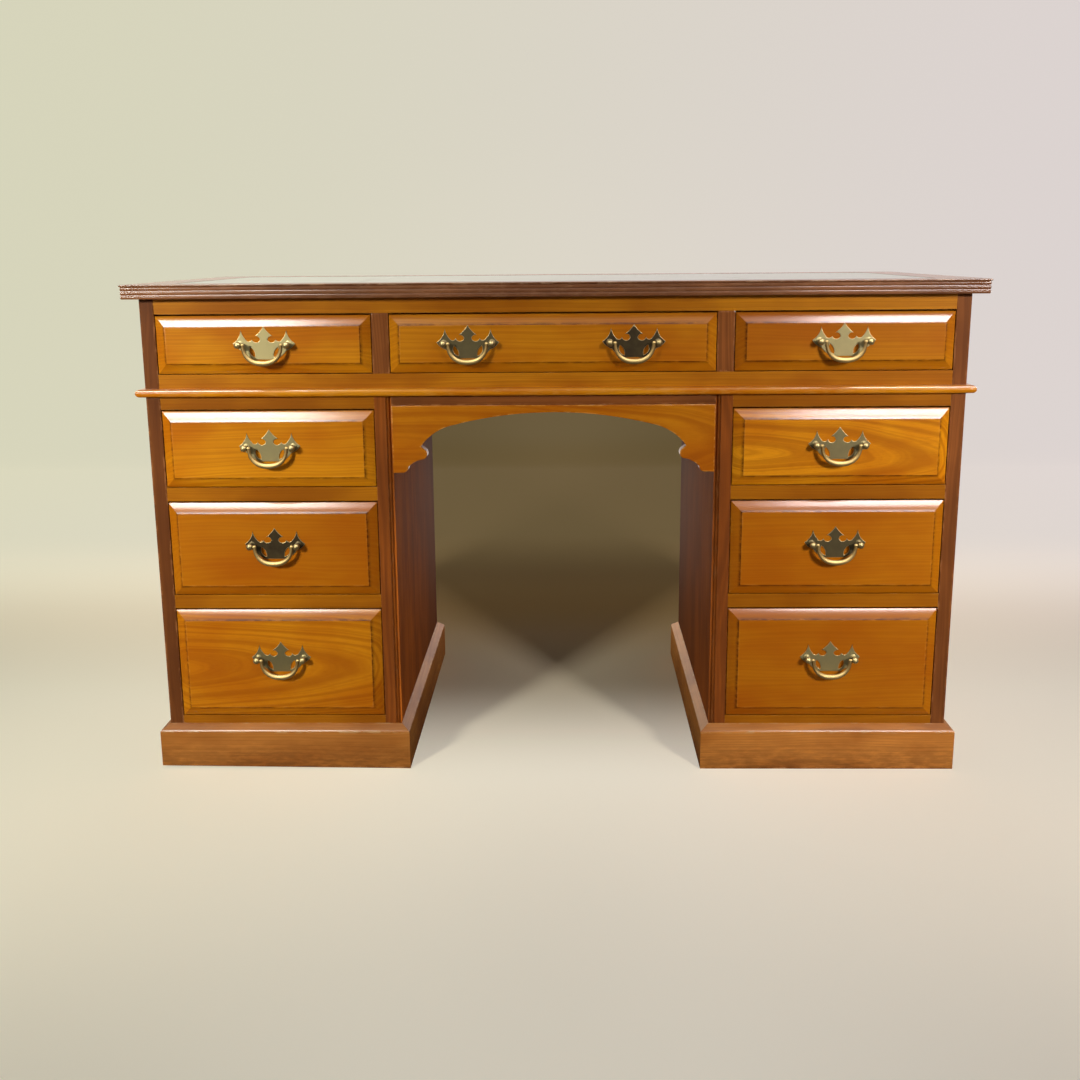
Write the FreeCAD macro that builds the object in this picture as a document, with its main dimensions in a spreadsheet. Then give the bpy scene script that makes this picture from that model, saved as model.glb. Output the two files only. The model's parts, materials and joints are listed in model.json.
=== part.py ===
import FreeCAD, Part
import math
import os
import re
from types import SimpleNamespace

import Sketcher
from FreeCAD import Placement, Rotation, Vector

# A nine-drawer kneehole desk: a moulded top with a leather inset, a frieze with three drawers,
# two pedestals with three drawers each, a shaped apron over the kneehole and planted plinths.
# Millimetres. X runs to the right, the front faces -Y and Z is up. The origin is on the floor,
# under the middle of the desk.

SIZES = {
    # top
    "top_width": 1300,
    "top_depth": 614,
    "top_thickness": 21.5,
    "side_overhang": 22.5,
    "front_overhang": 21,
    "back_overhang": 20,
    "top_border": 66,
    "lip_thickness": 3,
    "reed_setback": 2.5,
    "reed_swell": 1,
    "leather_recess": 1.5,
    "leather_thickness": 1.2,
    "leather_middle": 600,
    # carcass
    "kneehole_width": 498,
    "outer_side": 22,
    "inner_side": 26,
    "back_panel": 12,
    "rail_depth": 60,
    "frieze_top_rail": 23.5,
    "frieze_opening": 91,
    "frieze_bottom_rail": 34,
    "pedestal_top_rail": 20,
    "drawer_rail": 22,
    "opening_1": 122,
    "opening_2": 152,
    "opening_3": 181,
    "bottom_rail": 40,
    "bottom_rail_show": 13,
    "foot_gap": 8,
    "corner_bead": 7,
    "bead_quirk": 1.2,
    "runner_width": 22,
    "stop_width": 60,
    "stop_depth": 12,
    "stop_height": 5,
    # mouldings, apron and plinth
    "bead_height": 12,
    "bead_proud": 12.5,
    "kneehole_board": 15.5,
    "apron_thickness": 20,
    "apron_height": 104.5,
    "apron_crown": 11.3,
    "plinth_thickness": 14,
    "plinth_height": 74,
    "plinth_face": 63.6,
    "plinth_wear": 5,
    # drawers
    "drawer_gap": 1,
    "drawer_top_gap": 2.2,
    "front_thickness": 18,
    "field_proud": 11,
    "field_step": 1,
    "bevel_width": 16,
    "rear_gap": 31,
    "drawer_side": 10,
    "tail_length": 12,
    "tail_pitch": 38,
    "runner_clearance": 0.3,
    "bottom_lift": 9,
    "bottom_thickness": 6,
    "groove_depth": 5,
    "back_drop": 6,
    # handles
    "centre_handle_left": 128,
    "centre_handle_right": 122.6,
    "side_handle_inset": 3,
    "handle_rise_frieze": 0.3,
    "handle_rise_1": 4.3,
    "handle_rise_2": 8.4,
    "handle_rise_3": 10.8,
    "post_spacing": 73,
    "plate_thickness": 1.2,
    "plate_width": 95,
    "plate_crown": 27,
    "plate_drop": 22.5,
    "ball_standoff": 15.5,
    "ball_diameter": 10.5,
    "neck_diameter": 5.6,
    "flange_diameter": 11,
    "flange_thickness": 1.6,
    "shank_diameter": 5,
    "shank_clearance": 0.3,
    "thread_clearance": 0.05,
    "nut_width": 10,
    "nut_thickness": 4,
    "shank_end": 2,
    "pin_diameter": 3,
    "pin_length": 3.6,
    "pin_clearance": 0.05,
    "bail_clearance": 0.4,
    "bail_drop": 27.5,
    "bail_rod": 5.2,
    "bail_grip": 8,
    "knuckle_diameter": 5.6,
}

# Places that follow from the sizes, each a sum of the names above and of one another.
PLACES = {
    "handle_reach": "field_proud + plate_thickness + ball_standoff + ball_diameter / 2",
    "front_y": "-(top_depth - front_overhang - handle_reach) / 2",
    "carcass_depth": "top_depth - front_overhang - back_overhang",
    "back_y": "front_y + carcass_depth",
    "back_face_y": "back_y - back_panel",
    "behind_rail_y": "front_y + rail_depth",
    "half_carcass": "top_width / 2 - side_overhang",
    "half_frieze": "half_carcass - outer_side",
    "half_kneehole": "kneehole_width / 2",
    "half_between": "half_kneehole + inner_side",
    "side_opening": "half_frieze - half_between",
    "side_middle": "(half_between + half_frieze) / 2",
    "drawer_length": "carcass_depth - back_panel - rear_gap",
    "open_3_bottom": "plinth_height + bottom_rail_show",
    "open_2_bottom": "open_3_bottom + opening_3 + drawer_rail",
    "open_1_bottom": "open_2_bottom + opening_2 + drawer_rail",
    "pedestal_top": "open_1_bottom + opening_1 + pedestal_top_rail",
    "frieze_open_bottom": "pedestal_top + frieze_bottom_rail",
    "frieze_open_top": "frieze_open_bottom + frieze_opening",
    "top_under": "frieze_open_top + frieze_top_rail",
    "desk_top": "top_under + top_thickness",
    "apron_top": "pedestal_top - kneehole_board",
}

SIDES = ("left", "right")
UP = Vector(0, 0, 1)
# Sides of a rectangle in plan, anticlockwise.
ALL_ROUND = ("front", "right", "back", "left")
FRONT_AND_ENDS = ("front", "right", "left")

doc = FreeCAD.newDocument("kneehole_desk")
sheet = doc.addObject("Spreadsheet::Sheet", "sizes")
for row, (alias, number) in enumerate(SIZES.items(), start=1):
    sheet.set(f"A{row}", alias)
    sheet.set(f"B{row}", str(number))
    sheet.setAlias(f"B{row}", alias)
doc.recompute()
s = SimpleNamespace(**{alias: float(sheet.get(alias)) for alias in SIZES})

sub_parts = []


def formula(text):
    """A sum of named sizes and places as an expression on the sheet's cells."""

    def expand(match):
        word = match.group()
        if word in PLACES:
            return "(" + formula(PLACES[word]) + ")"
        return "sizes." + word if word in SIZES else word

    return re.sub(r"[a-z]\w*", expand, text)


def amount(text):
    """A sum of named sizes and places as a number."""
    return float(sheet.evalExpression(formula(text)))


def bind(item, **sums):
    """Bind properties of a document object to sums of the sheet's sizes."""
    for name, text in sums.items():
        item.setExpression(name, formula(text))
    return item


def place(item, x="0", y="0", z="0"):
    """Bind where an object stands."""
    for axis, text in zip("xyz", (x, y, z)):
        item.setExpression("Placement.Base." + axis, formula(text))
    return item


def board(label, corner, size):
    """A squared board, from its low corner and its size along X, Y and Z."""
    box = doc.addObject("Part::Box", label)
    bind(box, Length=size[0], Width=size[1], Height=size[2])
    return place(box, *corner)


def shaped(label, shape):
    """A piece whose outline is worked out in code, at its own origin."""
    item = doc.addObject("Part::Feature", label)
    item.Shape = shape
    return item


def group(label, members):
    """Pieces that share one node, still as separate solids."""
    compound = doc.addObject("Part::Compound", label)
    compound.Links = members
    return compound


def cut(label, base, tool):
    """One piece with the room for another taken out of it."""
    item = doc.addObject("Part::Cut", label)
    item.Base = base
    item.Tool = tool
    return item


def keep(item, label):
    """Name a finished sub-part."""
    item.Label = label
    sub_parts.append(item)
    return item


def across(side, near, far):
    """Low X and width of a piece that lies between two distances from the middle of the desk."""
    low = near if side == "right" else f"-({far})"
    return low, f"{far} - ({near})"


# Outlines


def face_of(edges):
    """The flat face inside a closed run of edges."""
    return Part.Face(Part.Wire(edges))


def polygon(points):
    """The flat face inside a closed run of straight sides."""
    return Part.Face(Part.makePolygon(points + points[:1]))


def arc(start, through, end):
    """A round stretch of an outline through three points."""
    return Part.Arc(start, through, end).toShape()


def line(start, end):
    """A straight stretch of an outline."""
    return Part.LineSegment(start, end).toShape()


def frame_lengths(profile, width, depth, reach, sides):
    """Lengths of a moulding on sides of a width by depth rectangle round the origin, mitred where they meet.

    The profile lies in XY: X outwards from the rectangle, Y up.
    """
    corners = [
        Vector(-width / 2, -depth / 2, 0),
        Vector(width / 2, -depth / 2, 0),
        Vector(width / 2, depth / 2, 0),
        Vector(-width / 2, depth / 2, 0),
    ]
    lengths = []
    for side in sides:
        index = ALL_ROUND.index(side)
        after = (index + 1) % len(corners)
        start = corners[index]
        end = corners[after]
        along = (end - start).normalize()
        outward = along.cross(UP)
        start_slope = along if ALL_ROUND[index - 1] in sides else Vector()
        end_slope = along if ALL_ROUND[after] in sides else Vector()
        turn = Rotation(outward, UP, -along, "XYZ")
        bar = profile.transformed(Placement(start - along * reach, turn).toMatrix())
        bar = bar.extrude(end - start + along * (2 * reach))
        plan = polygon(
            [
                start - (outward - start_slope) * reach,
                end - (outward + end_slope) * reach,
                end + (outward + end_slope) * reach,
                start + (outward - start_slope) * reach,
            ]
        )
        plan.translate(UP * -reach)
        lengths.append(bar.common(plan.extrude(UP * (3 * reach))).Solids[0])
    return lengths


# Top


def top_profile():
    """Section of the top's border: a flat board with three reeds under a thin rounded lip."""
    lip = s.lip_thickness / 2
    lip_low = s.top_thickness - s.lip_thickness
    inner_low = Vector(-s.top_border, 0, 0)
    inner_high = Vector(-s.top_border, s.top_thickness, 0)
    edges = [line(inner_low, Vector(-s.reed_setback, 0, 0))]
    reeds = 3
    for reed in range(reeds):
        low = Vector(-s.reed_setback, lip_low * reed / reeds, 0)
        high = Vector(-s.reed_setback, lip_low * (reed + 1) / reeds, 0)
        middle = (low + high) / 2 + Vector(s.reed_swell, 0, 0)
        edges.append(arc(low, middle, high))
    edges.append(line(Vector(-s.reed_setback, lip_low, 0), Vector(-lip, lip_low, 0)))
    edges.append(arc(Vector(-lip, lip_low, 0), Vector(0, lip_low + lip, 0), Vector(-lip, s.top_thickness, 0)))
    edges.append(line(Vector(-lip, s.top_thickness, 0), inner_high))
    edges.append(line(inner_high, inner_low))
    return face_of(edges)


def build_top():
    """Mitred border, ground board and the three leather skivers laid in it."""
    reach = s.top_border + s.top_thickness
    lengths = frame_lengths(top_profile(), s.top_width, s.top_depth, reach, ALL_ROUND)
    frame = shaped("top_border_boards", Part.Compound(lengths))
    place(frame, y="front_y - front_overhang + top_depth / 2", z="top_under")
    keep(frame, "top_frame")

    inner_y = "front_y - front_overhang + top_border"
    inner_depth = "top_depth - 2 * top_border"
    half_inner = "(top_width / 2 - top_border)"
    ground = board(
        "top_ground",
        ("-" + half_inner, inner_y, "top_under"),
        ("2 * " + half_inner, inner_depth, "top_thickness - leather_recess"),
    )
    keep(ground, "top_panel")

    skiver_z = "desk_top - leather_recess"
    skivers = [
        board(
            "leather_middle_skiver",
            ("-leather_middle / 2", inner_y, skiver_z),
            ("leather_middle", inner_depth, "leather_thickness"),
        )
    ]
    for side in SIDES:
        low, width = across(side, "leather_middle / 2", half_inner)
        corner = (low, inner_y, skiver_z)
        skivers.append(board(f"leather_{side}_skiver", corner, (width, inner_depth, "leather_thickness")))
    keep(group("leather_skivers", skivers), "top_leather")


# Frieze


def drawer_stop(label, middle, sill):
    """The block glued on a rail that stops a drawer front flush."""
    return board(
        label,
        (f"{middle} - stop_width / 2", "front_y + front_thickness", sill),
        ("stop_width", "stop_depth", "stop_height"),
    )


def build_frieze():
    """The three-drawer upper part: ends, back, rails, dividers, runners and the bead round its foot."""
    tall = "top_under - pedestal_top"
    ends = []
    for side in SIDES:
        low, width = across(side, "half_frieze", "half_carcass")
        corner = (low, "front_y", "pedestal_top")
        ends.append(board("frieze_end_" + side, corner, (width, "carcass_depth", tall)))
    keep(group("frieze_end_boards", ends), "frieze_ends")

    corner = ("-half_frieze", "back_face_y", "pedestal_top")
    keep(board("frieze_back_board", corner, ("2 * half_frieze", "back_panel", tall)), "frieze_back")

    rails = []
    for name, rail_z, rail_height in (
        ("top", "frieze_open_top", "frieze_top_rail"),
        ("bottom", "pedestal_top", "frieze_bottom_rail"),
    ):
        corner = ("-half_frieze", "front_y", rail_z)
        rails.append(board("frieze_rail_" + name, corner, ("2 * half_frieze", "rail_depth", rail_height)))
    for name, middle in (("left", "-side_middle"), ("centre", "0"), ("right", "side_middle")):
        rails.append(drawer_stop("frieze_stop_" + name, middle, "frieze_open_bottom"))
    keep(group("frieze_rail_boards", rails), "frieze_rails")

    dividers = []
    runners = []
    run = "back_face_y - behind_rail_y"
    for side in SIDES:
        low, width = across(side, "half_kneehole", "half_between")
        corner = (low, "front_y", "frieze_open_bottom")
        dividers.append(board("muntin_" + side, corner, (width, "rail_depth", "frieze_opening")))
        corner = (low, "behind_rail_y", "pedestal_top")
        dividers.append(board("partition_" + side, corner, (width, run, tall)))
        for spot, near in (
            ("outer", "half_frieze - runner_width"),
            ("inner", "half_between"),
            ("centre", "half_kneehole - runner_width"),
        ):
            low, width = across(side, near, near + " + runner_width")
            for kind, strip_z, strip_height in (
                ("runner", "pedestal_top", "frieze_bottom_rail"),
                ("kicker", "frieze_open_top", "frieze_top_rail"),
            ):
                corner = (low, "behind_rail_y", strip_z)
                runners.append(board(f"frieze_{side}_{spot}_{kind}", corner, (width, run, strip_height)))
    keep(group("frieze_divider_boards", dividers), "frieze_dividers")
    keep(group("frieze_runner_strips", runners), "frieze_runners")

    nose = s.bead_height / 2
    flat = s.bead_proud - nose
    profile = face_of(
        [
            line(Vector(0, 0, 0), Vector(flat, 0, 0)),
            arc(Vector(flat, 0, 0), Vector(s.bead_proud, nose, 0), Vector(flat, s.bead_height, 0)),
            line(Vector(flat, s.bead_height, 0), Vector(0, s.bead_height, 0)),
            line(Vector(0, s.bead_height, 0), Vector(0, 0, 0)),
        ]
    )
    width = amount("2 * half_carcass")
    lengths = frame_lengths(profile, width, amount("carcass_depth"), 2 * s.bead_proud, FRONT_AND_ENDS)
    bead = shaped("bead_lengths", Part.Compound(lengths))
    place(bead, y="front_y + carcass_depth / 2", z="pedestal_top")
    keep(bead, "bead_moulding")


# Kneehole


# Half of the apron's lower edge from the pedestal to the middle, as arcs through three points.
# Each point is a share of the half width from the middle and a share of the height below the top.
APRON_ARC_SHARES = (
    ((0.94, 1.0), (0.915, 0.975), (0.904, 0.914)),
    ((0.904, 0.914), (0.862, 0.838), (0.807, 0.799)),
    ((0.807, 0.799), (0.785, 0.733), (0.793, 0.665)),
    ((0.823, 0.608), (0.752, 0.435), (0.611, 0.287)),
)


def apron_face():
    """The apron's outline in XZ: a flat arch between two pairs of scrolled shoulders."""
    half = s.kneehole_width / 2

    def spot(point, hand):
        return Vector(hand * half * point[0], 0, -s.apron_height * point[1])

    edges = [line(spot((1, 0), 1), spot((1, 0), -1))]
    for hand in (-1, 1):
        edges.append(line(spot((1, 0), hand), spot((1, 1), hand)))
        edges.append(line(spot((1, 1), hand), spot(APRON_ARC_SHARES[0][0], hand)))
        for start, through, end in APRON_ARC_SHARES:
            edges.append(arc(spot(start, hand), spot(through, hand), spot(end, hand)))
        edges.append(line(spot(APRON_ARC_SHARES[2][2], hand), spot(APRON_ARC_SHARES[3][0], hand)))
    springing = APRON_ARC_SHARES[-1][-1]
    edges.append(arc(spot(springing, -1), Vector(0, 0, -s.apron_crown), spot(springing, 1)))
    return face_of(Part.sortEdges(edges)[0])


def build_kneehole():
    """The board that ties the pedestals together under the frieze, and the apron under its front edge."""
    ceiling = board(
        "kneehole_ceiling",
        ("-half_kneehole", "front_y", "apron_top"),
        ("kneehole_width", "carcass_depth", "kneehole_board"),
    )
    keep(ceiling, "kneehole_top_board")
    apron = shaped("apron_board", apron_face().extrude(Vector(0, s.apron_thickness, 0)))
    place(apron, y="front_y", z="apron_top")
    keep(apron, "apron")


# Pedestals


def plinth_boards(side):
    """Four mitred plinth boards with a bevelled top, the left front corner worn off the floor."""
    width = amount("half_carcass - half_kneehole")
    depth = amount("carcass_depth")
    profile = polygon(
        [
            Vector(0, 0, 0),
            Vector(s.plinth_thickness, 0, 0),
            Vector(s.plinth_thickness, s.plinth_face, 0),
            Vector(0, s.plinth_height, 0),
        ]
    )
    boards = frame_lengths(profile, width, depth, s.plinth_height, ALL_ROUND)
    if side == "right":
        return boards
    half_width = width / 2 + s.plinth_thickness
    half_depth = depth / 2 + s.plinth_thickness
    worn = [
        Vector(-half_width, -half_depth, 0),
        Vector(half_width, -half_depth, 0),
        Vector(-half_width, half_depth, 0),
    ]
    peak = worn[0] + UP * s.plinth_wear
    wedge = Part.makeSolid(
        Part.makeShell(
            [
                polygon(worn),
                polygon([worn[0], worn[1], peak]),
                polygon([worn[0], worn[2], peak]),
                polygon([worn[1], worn[2], peak]),
            ]
        )
    )
    if wedge.Volume < 0:
        wedge.reverse()
    return [length.cut(wedge).Solids[0] for length in boards]


def beaded_side(side):
    """A pedestal's board beside the kneehole, with a quirked bead worked down its front corner."""
    radius = s.corner_bead / 2
    far = s.corner_bead + s.bead_quirk
    depth = amount("carcass_depth")
    hand = 1 if side == "right" else -1

    def spot(x, y):
        return Vector(hand * x, y, 0)

    diagonal = radius * (1 - math.sqrt(0.5))
    outline = [
        line(spot(far, 0), spot(s.inner_side, 0)),
        line(spot(s.inner_side, 0), spot(s.inner_side, depth)),
        line(spot(s.inner_side, depth), spot(0, depth)),
        line(spot(0, depth), spot(0, far)),
        line(spot(0, far), spot(radius, far)),
        line(spot(radius, far), spot(radius, s.corner_bead)),
        arc(spot(radius, s.corner_bead), spot(diagonal, diagonal), spot(s.corner_bead, radius)),
        line(spot(s.corner_bead, radius), spot(far, radius)),
        line(spot(far, radius), spot(far, 0)),
    ]
    plank = face_of(outline).extrude(UP * amount("pedestal_top - foot_gap"))
    piece = shaped(f"{side}_pedestal_beaded_board", plank)
    return place(piece, "half_kneehole" if side == "right" else "-half_kneehole", "front_y", "foot_gap")


def build_pedestal(side):
    """One pedestal: sides, back, front rails with stops, runners and plinth."""
    name = side + "_pedestal"
    tall = "pedestal_top - foot_gap"
    low, width = across(side, "half_frieze", "half_carcass")
    outer = board(name + "_outer_board", (low, "front_y", "foot_gap"), (width, "carcass_depth", tall))
    keep(outer, name + "_outer_side")
    keep(beaded_side(side), name + "_inner_side")

    low, width = across(side, "half_between", "half_frieze")
    back = board(name + "_back_board", (low, "back_face_y", "foot_gap"), (width, "back_panel", tall))
    keep(back, name + "_back")

    levels = (
        ("top", "pedestal_top - pedestal_top_rail", "pedestal_top_rail", "pedestal_top_rail"),
        ("upper", "open_1_bottom - drawer_rail", "drawer_rail", "drawer_rail"),
        ("lower", "open_2_bottom - drawer_rail", "drawer_rail", "drawer_rail"),
        ("bottom", "open_3_bottom - bottom_rail", "bottom_rail", "drawer_rail"),
    )
    rails = []
    runners = []
    run = "back_face_y - behind_rail_y"
    for level, rail_z, rail_height, runner_height in levels:
        corner = (low, "front_y", rail_z)
        rails.append(board(f"{name}_{level}_rail", corner, (width, "rail_depth", rail_height)))
        runner_z = f"{rail_z} + {rail_height} - {runner_height}"
        for spot, near in (("outer", "half_frieze - runner_width"), ("inner", "half_between")):
            runner_low, runner_size = across(side, near, near + " + runner_width")
            corner = (runner_low, "behind_rail_y", runner_z)
            runners.append(board(f"{name}_{level}_{spot}_runner", corner, (runner_size, run, runner_height)))
    hand = "" if side == "right" else "-"
    for number in ("1", "2", "3"):
        rails.append(drawer_stop(f"{name}_stop_{number}", hand + "side_middle", f"open_{number}_bottom"))
    keep(group(name + "_rail_boards", rails), name + "_rails")
    keep(group(name + "_runner_strips", runners), name + "_runners")

    plinth = shaped(name + "_plinth_boards", Part.Compound(plinth_boards(side)))
    place(plinth, x=f"{hand}(half_kneehole + half_carcass) / 2", y="front_y + carcass_depth / 2")
    keep(plinth, name + "_plinth")


# Drawers


def side_board(height):
    """A drawer side with its dovetails: Y runs back from the drawer's face, Z up from the opening's floor."""
    floor = s.runner_clearance
    ceiling = height - s.drawer_top_gap
    shoulder = s.front_thickness
    tip = s.front_thickness - s.tail_length
    front_height = height - s.drawer_gap - s.drawer_top_gap
    count = round(front_height / s.tail_pitch)
    pitch = front_height / count
    root_share = 0.26
    tip_share = 0.36
    end = amount("drawer_length")
    points = [Vector(0, end, ceiling), Vector(0, end, floor), Vector(0, shoulder, floor)]
    for tail in range(count):
        middle = s.drawer_gap + (tail + 0.5) * pitch
        points.append(Vector(0, shoulder, middle - pitch * root_share))
        points.append(Vector(0, tip, middle - pitch * tip_share))
        points.append(Vector(0, tip, middle + pitch * tip_share))
        points.append(Vector(0, shoulder, middle + pitch * root_share))
    points.append(Vector(0, shoulder, ceiling))
    return polygon(points).extrude(Vector(s.drawer_side, 0, 0))


def rectangle(body, name, width, height):
    """A sketch of a rectangle round the origin on a body's XZ plane."""
    plane = next(feature for feature in body.Origin.OriginFeatures if feature.Role == "XZ_Plane")
    sketch = body.newObject("Sketcher::SketchObject", name)
    sketch.AttachmentSupport = (plane, "")
    sketch.MapMode = "FlatFace"
    corners = [Vector(-1, -1, 0), Vector(1, -1, 0), Vector(1, 1, 0), Vector(-1, 1, 0)]
    for index in range(len(corners)):
        sketch.addGeometry(Part.LineSegment(corners[index], corners[(index + 1) % len(corners)]))
    for index in range(len(corners)):
        sketch.addConstraint(Sketcher.Constraint("Coincident", index, 2, (index + 1) % len(corners), 1))
    for index, direction in enumerate(("Horizontal", "Vertical", "Horizontal", "Vertical")):
        sketch.addConstraint(Sketcher.Constraint(direction, index))
    sketch.addConstraint(Sketcher.Constraint("Symmetric", 0, 1, 2, 1, -1, 1))
    spans = (("width", "DistanceX", 0, 1, 0, 2, width), ("height", "DistanceY", 1, 1, 1, 2, height))
    for label, kind, first, first_end, second, second_end, text in spans:
        index = sketch.addConstraint(Sketcher.Constraint(kind, first, first_end, second, second_end, 2))
        sketch.renameConstraint(index, label)
        sketch.setExpression("Constraints." + label, formula(text))
    return sketch


def pad(body, name, sketch, **sums):
    """A pad whose sizes are sums of the sheet's sizes."""
    feature = body.newObject("PartDesign::Pad", name)
    feature.Profile = sketch
    return bind(feature, **sums)


def front_blank(name, width, height):
    """The drawer front before jointing: a block with four bevels and a small step up to a raised field."""
    body = doc.addObject("PartDesign::Body", name + "_front_blank")
    outline = rectangle(body, name + "_front_outline", width, height)
    block = pad(body, name + "_front_block", outline, Length="front_thickness")
    block.Reversed = True
    doc.recompute()
    rise = "(field_proud - field_step)"
    pad(body, name + "_front_bevels", outline, Length=rise, TaperAngle=f"-atan(bevel_width / {rise})")
    inset = " - 2 * bevel_width"
    field = rectangle(body, name + "_field_outline", width + inset, height + inset)
    pad(body, name + "_front_field", field, Length="field_proud")
    return body


# Half of the backplate's edge from the tip of its crown to its foot, as arcs through three points.
# Each point is a share of the half width and a share of the crown's height or, below the posts, of the drop.
PLATE_ARC_SHARES = (
    ((0.0, 1.0), (0.128, 0.705), (0.29, 0.463)),
    ((0.29, 0.463), (0.165, 0.415), (0.118, 0.278)),
    ((0.118, 0.278), (0.247, 0.111), (0.381, 0.278)),
    ((0.381, 0.278), (0.48, 0.17), (0.577, 0.267)),
    ((0.577, 0.267), (0.672, 0.51), (0.73, 0.8)),
    ((0.73, 0.8), (0.82, 0.36), (1.0, 0.06)),
    ((1.0, 0.06), (0.88, -0.22), (0.7, -0.42)),
    ((0.7, -0.42), (0.56, -0.74), (0.35, -1.0)),
)
PIERCING_SHARES = ((0.443, -0.169), (0.454, -0.578), (0.299, -0.844), (0.32, -0.467))


def plate_face():
    """The handle's backplate in XZ about the middle of its posts: a crown, horns and wings, pierced twice."""
    half = s.plate_width / 2

    def spot(point, hand):
        rise = s.plate_crown if point[1] > 0 else s.plate_drop
        return Vector(hand * half * point[0], 0, rise * point[1])

    edges = []
    holes = []
    for hand in (-1, 1):
        for start, through, end in PLATE_ARC_SHARES:
            edges.append(arc(spot(start, hand), spot(through, hand), spot(end, hand)))
        top, outer, bottom, inner = PIERCING_SHARES
        leaf = [
            arc(spot(top, hand), spot(outer, hand), spot(bottom, hand)),
            arc(spot(bottom, hand), spot(inner, hand), spot(top, hand)),
        ]
        holes.append(face_of(leaf))
        radius = s.shank_diameter / 2 + s.thread_clearance
        ring = Part.makeCircle(radius, Vector(hand * s.post_spacing / 2, 0, 0), Vector(0, 1, 0))
        holes.append(face_of([ring]))
    foot = PLATE_ARC_SHARES[-1][-1]
    edges.append(line(spot(foot, -1), spot(foot, 1)))
    face = face_of(Part.sortEdges(edges)[0])
    return face.cut(Part.Compound(holes))


def post(hand, stack):
    """A ball-headed post, its shank through a stack of plate and drawer front: -Y is out of the drawer."""
    x = hand * s.post_spacing / 2
    out = Vector(0, -1, 0)
    shank_start = stack + s.nut_thickness + s.shank_end
    ball_y = -(s.plate_thickness + s.ball_standoff)
    shank_length = shank_start + s.plate_thickness
    shank = Part.makeCylinder(s.shank_diameter / 2, shank_length, Vector(x, shank_start, 0), out)
    flange_at = Vector(x, -s.plate_thickness, 0)
    flange = Part.makeCylinder(s.flange_diameter / 2, s.flange_thickness, flange_at, out)
    neck = Part.makeCylinder(s.neck_diameter / 2, s.ball_standoff, flange_at, out)
    ball = Part.makeSphere(s.ball_diameter / 2, Vector(x, ball_y, 0))
    eye_depth = s.pin_length + s.bail_clearance
    eye_start = x - hand * s.ball_diameter
    eye = Part.makeCylinder(
        s.pin_diameter / 2 + s.pin_clearance,
        s.ball_diameter / 2 + eye_depth,
        Vector(eye_start, ball_y, 0),
        Vector(hand, 0, 0),
    )
    return shank.fuse([flange, neck, ball]).cut(eye).removeSplitter().Solids[0]


def handle_fittings():
    """Backplate, two posts and their nuts, from the face of the drawer's field."""
    stack = s.front_thickness + s.field_proud
    plate = plate_face().extrude(Vector(0, -s.plate_thickness, 0))
    pieces = list(plate.Solids)
    for hand in (-1, 1):
        pieces.append(post(hand, stack))
        x = hand * s.post_spacing / 2
        half = s.nut_width / 2
        nut = Part.makeBox(s.nut_width, s.nut_thickness, s.nut_width, Vector(x - half, stack, -half))
        bore_radius = s.shank_diameter / 2 + s.thread_clearance
        bore = Part.makeCylinder(bore_radius, s.nut_thickness, Vector(x, stack, 0), Vector(0, 1, 0))
        pieces.append(nut.cut(bore).Solids[0])
    return Part.Compound(pieces)


# Half of the bail's centre line from its pivot to the grip: shares of half the post spacing and of the drop.
BAIL_PATH_SHARES = ((0.79, 0.0), (0.775, 0.5), (0.5, 1.0))

# Part of the shorter of two runs that the bend between them takes up.
BEND_SHARE = 0.45


def rounded_path(points):
    """Straight runs joined by tangent arcs, each as large as its two runs allow."""
    edges = []
    at = points[0]
    for before, corner, after in zip(points, points[1:], points[2:]):
        arriving = (corner - before).normalize()
        leaving = (after - corner).normalize()
        shorter = min((corner - before).Length, (after - corner).Length)
        trim = BEND_SHARE * shorter
        half_turn = arriving.getAngle(leaving) / 2
        radius = trim / math.tan(half_turn)
        start = corner - arriving * trim
        end = corner + leaving * trim
        inward = (leaving - arriving).normalize()
        middle = corner + inward * (radius / math.cos(half_turn) - radius)
        edges.append(line(at, start))
        edges.append(arc(start, middle, end))
        at = end
    edges.append(line(at, points[-1]))
    return Part.Wire(edges)


def bail_solid():
    """The swinging bail in XZ about its pivot: a rod with a swelling grip, knuckles and pins."""
    half = s.post_spacing / 2
    right = [Vector(half * share[0], 0, -s.bail_drop * share[1]) for share in BAIL_PATH_SHARES]
    left = [Vector(-point.x, 0, point.z) for point in right]
    path = rounded_path(left + right[::-1])
    start = path.OrderedVertexes[0].Point
    ring = Part.Wire(Part.makeCircle(s.bail_rod / 2, start, path.OrderedEdges[0].tangentAt(0)))
    rod = path.makePipeShell([ring], True, False)

    grip_half = right[2].x - BEND_SHARE * (right[2] - right[1]).Length
    low = Vector(-grip_half, 0, s.bail_rod / 2)
    high = Vector(grip_half, 0, s.bail_rod / 2)
    swell = face_of(
        [
            arc(low, Vector(0, 0, s.bail_grip / 2), high),
            line(high, Vector(grip_half, 0, 0)),
            line(Vector(grip_half, 0, 0), Vector(-grip_half, 0, 0)),
            line(Vector(-grip_half, 0, 0), low),
        ]
    )
    grip = swell.revolve(Vector(), Vector(1, 0, 0), 360)
    grip.translate(Vector(0, 0, -s.bail_drop))
    pieces = [grip]
    for hand in (-1, 1):
        knuckle_at = Vector(right[0].x * hand, 0, 0)
        pieces.append(Part.makeSphere(s.knuckle_diameter / 2, knuckle_at))
        ball_face = half - s.ball_diameter / 2
        collar = ball_face - s.bail_clearance - right[0].x
        outwards = Vector(hand, 0, 0)
        pieces.append(Part.makeCylinder(s.bail_rod / 2, collar, knuckle_at, outwards))
        reach = ball_face + s.pin_length - right[0].x
        pieces.append(Part.makeCylinder(s.pin_diameter / 2, reach, knuckle_at, outwards))
    return rod.fuse(pieces).removeSplitter().Solids[0]


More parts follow.
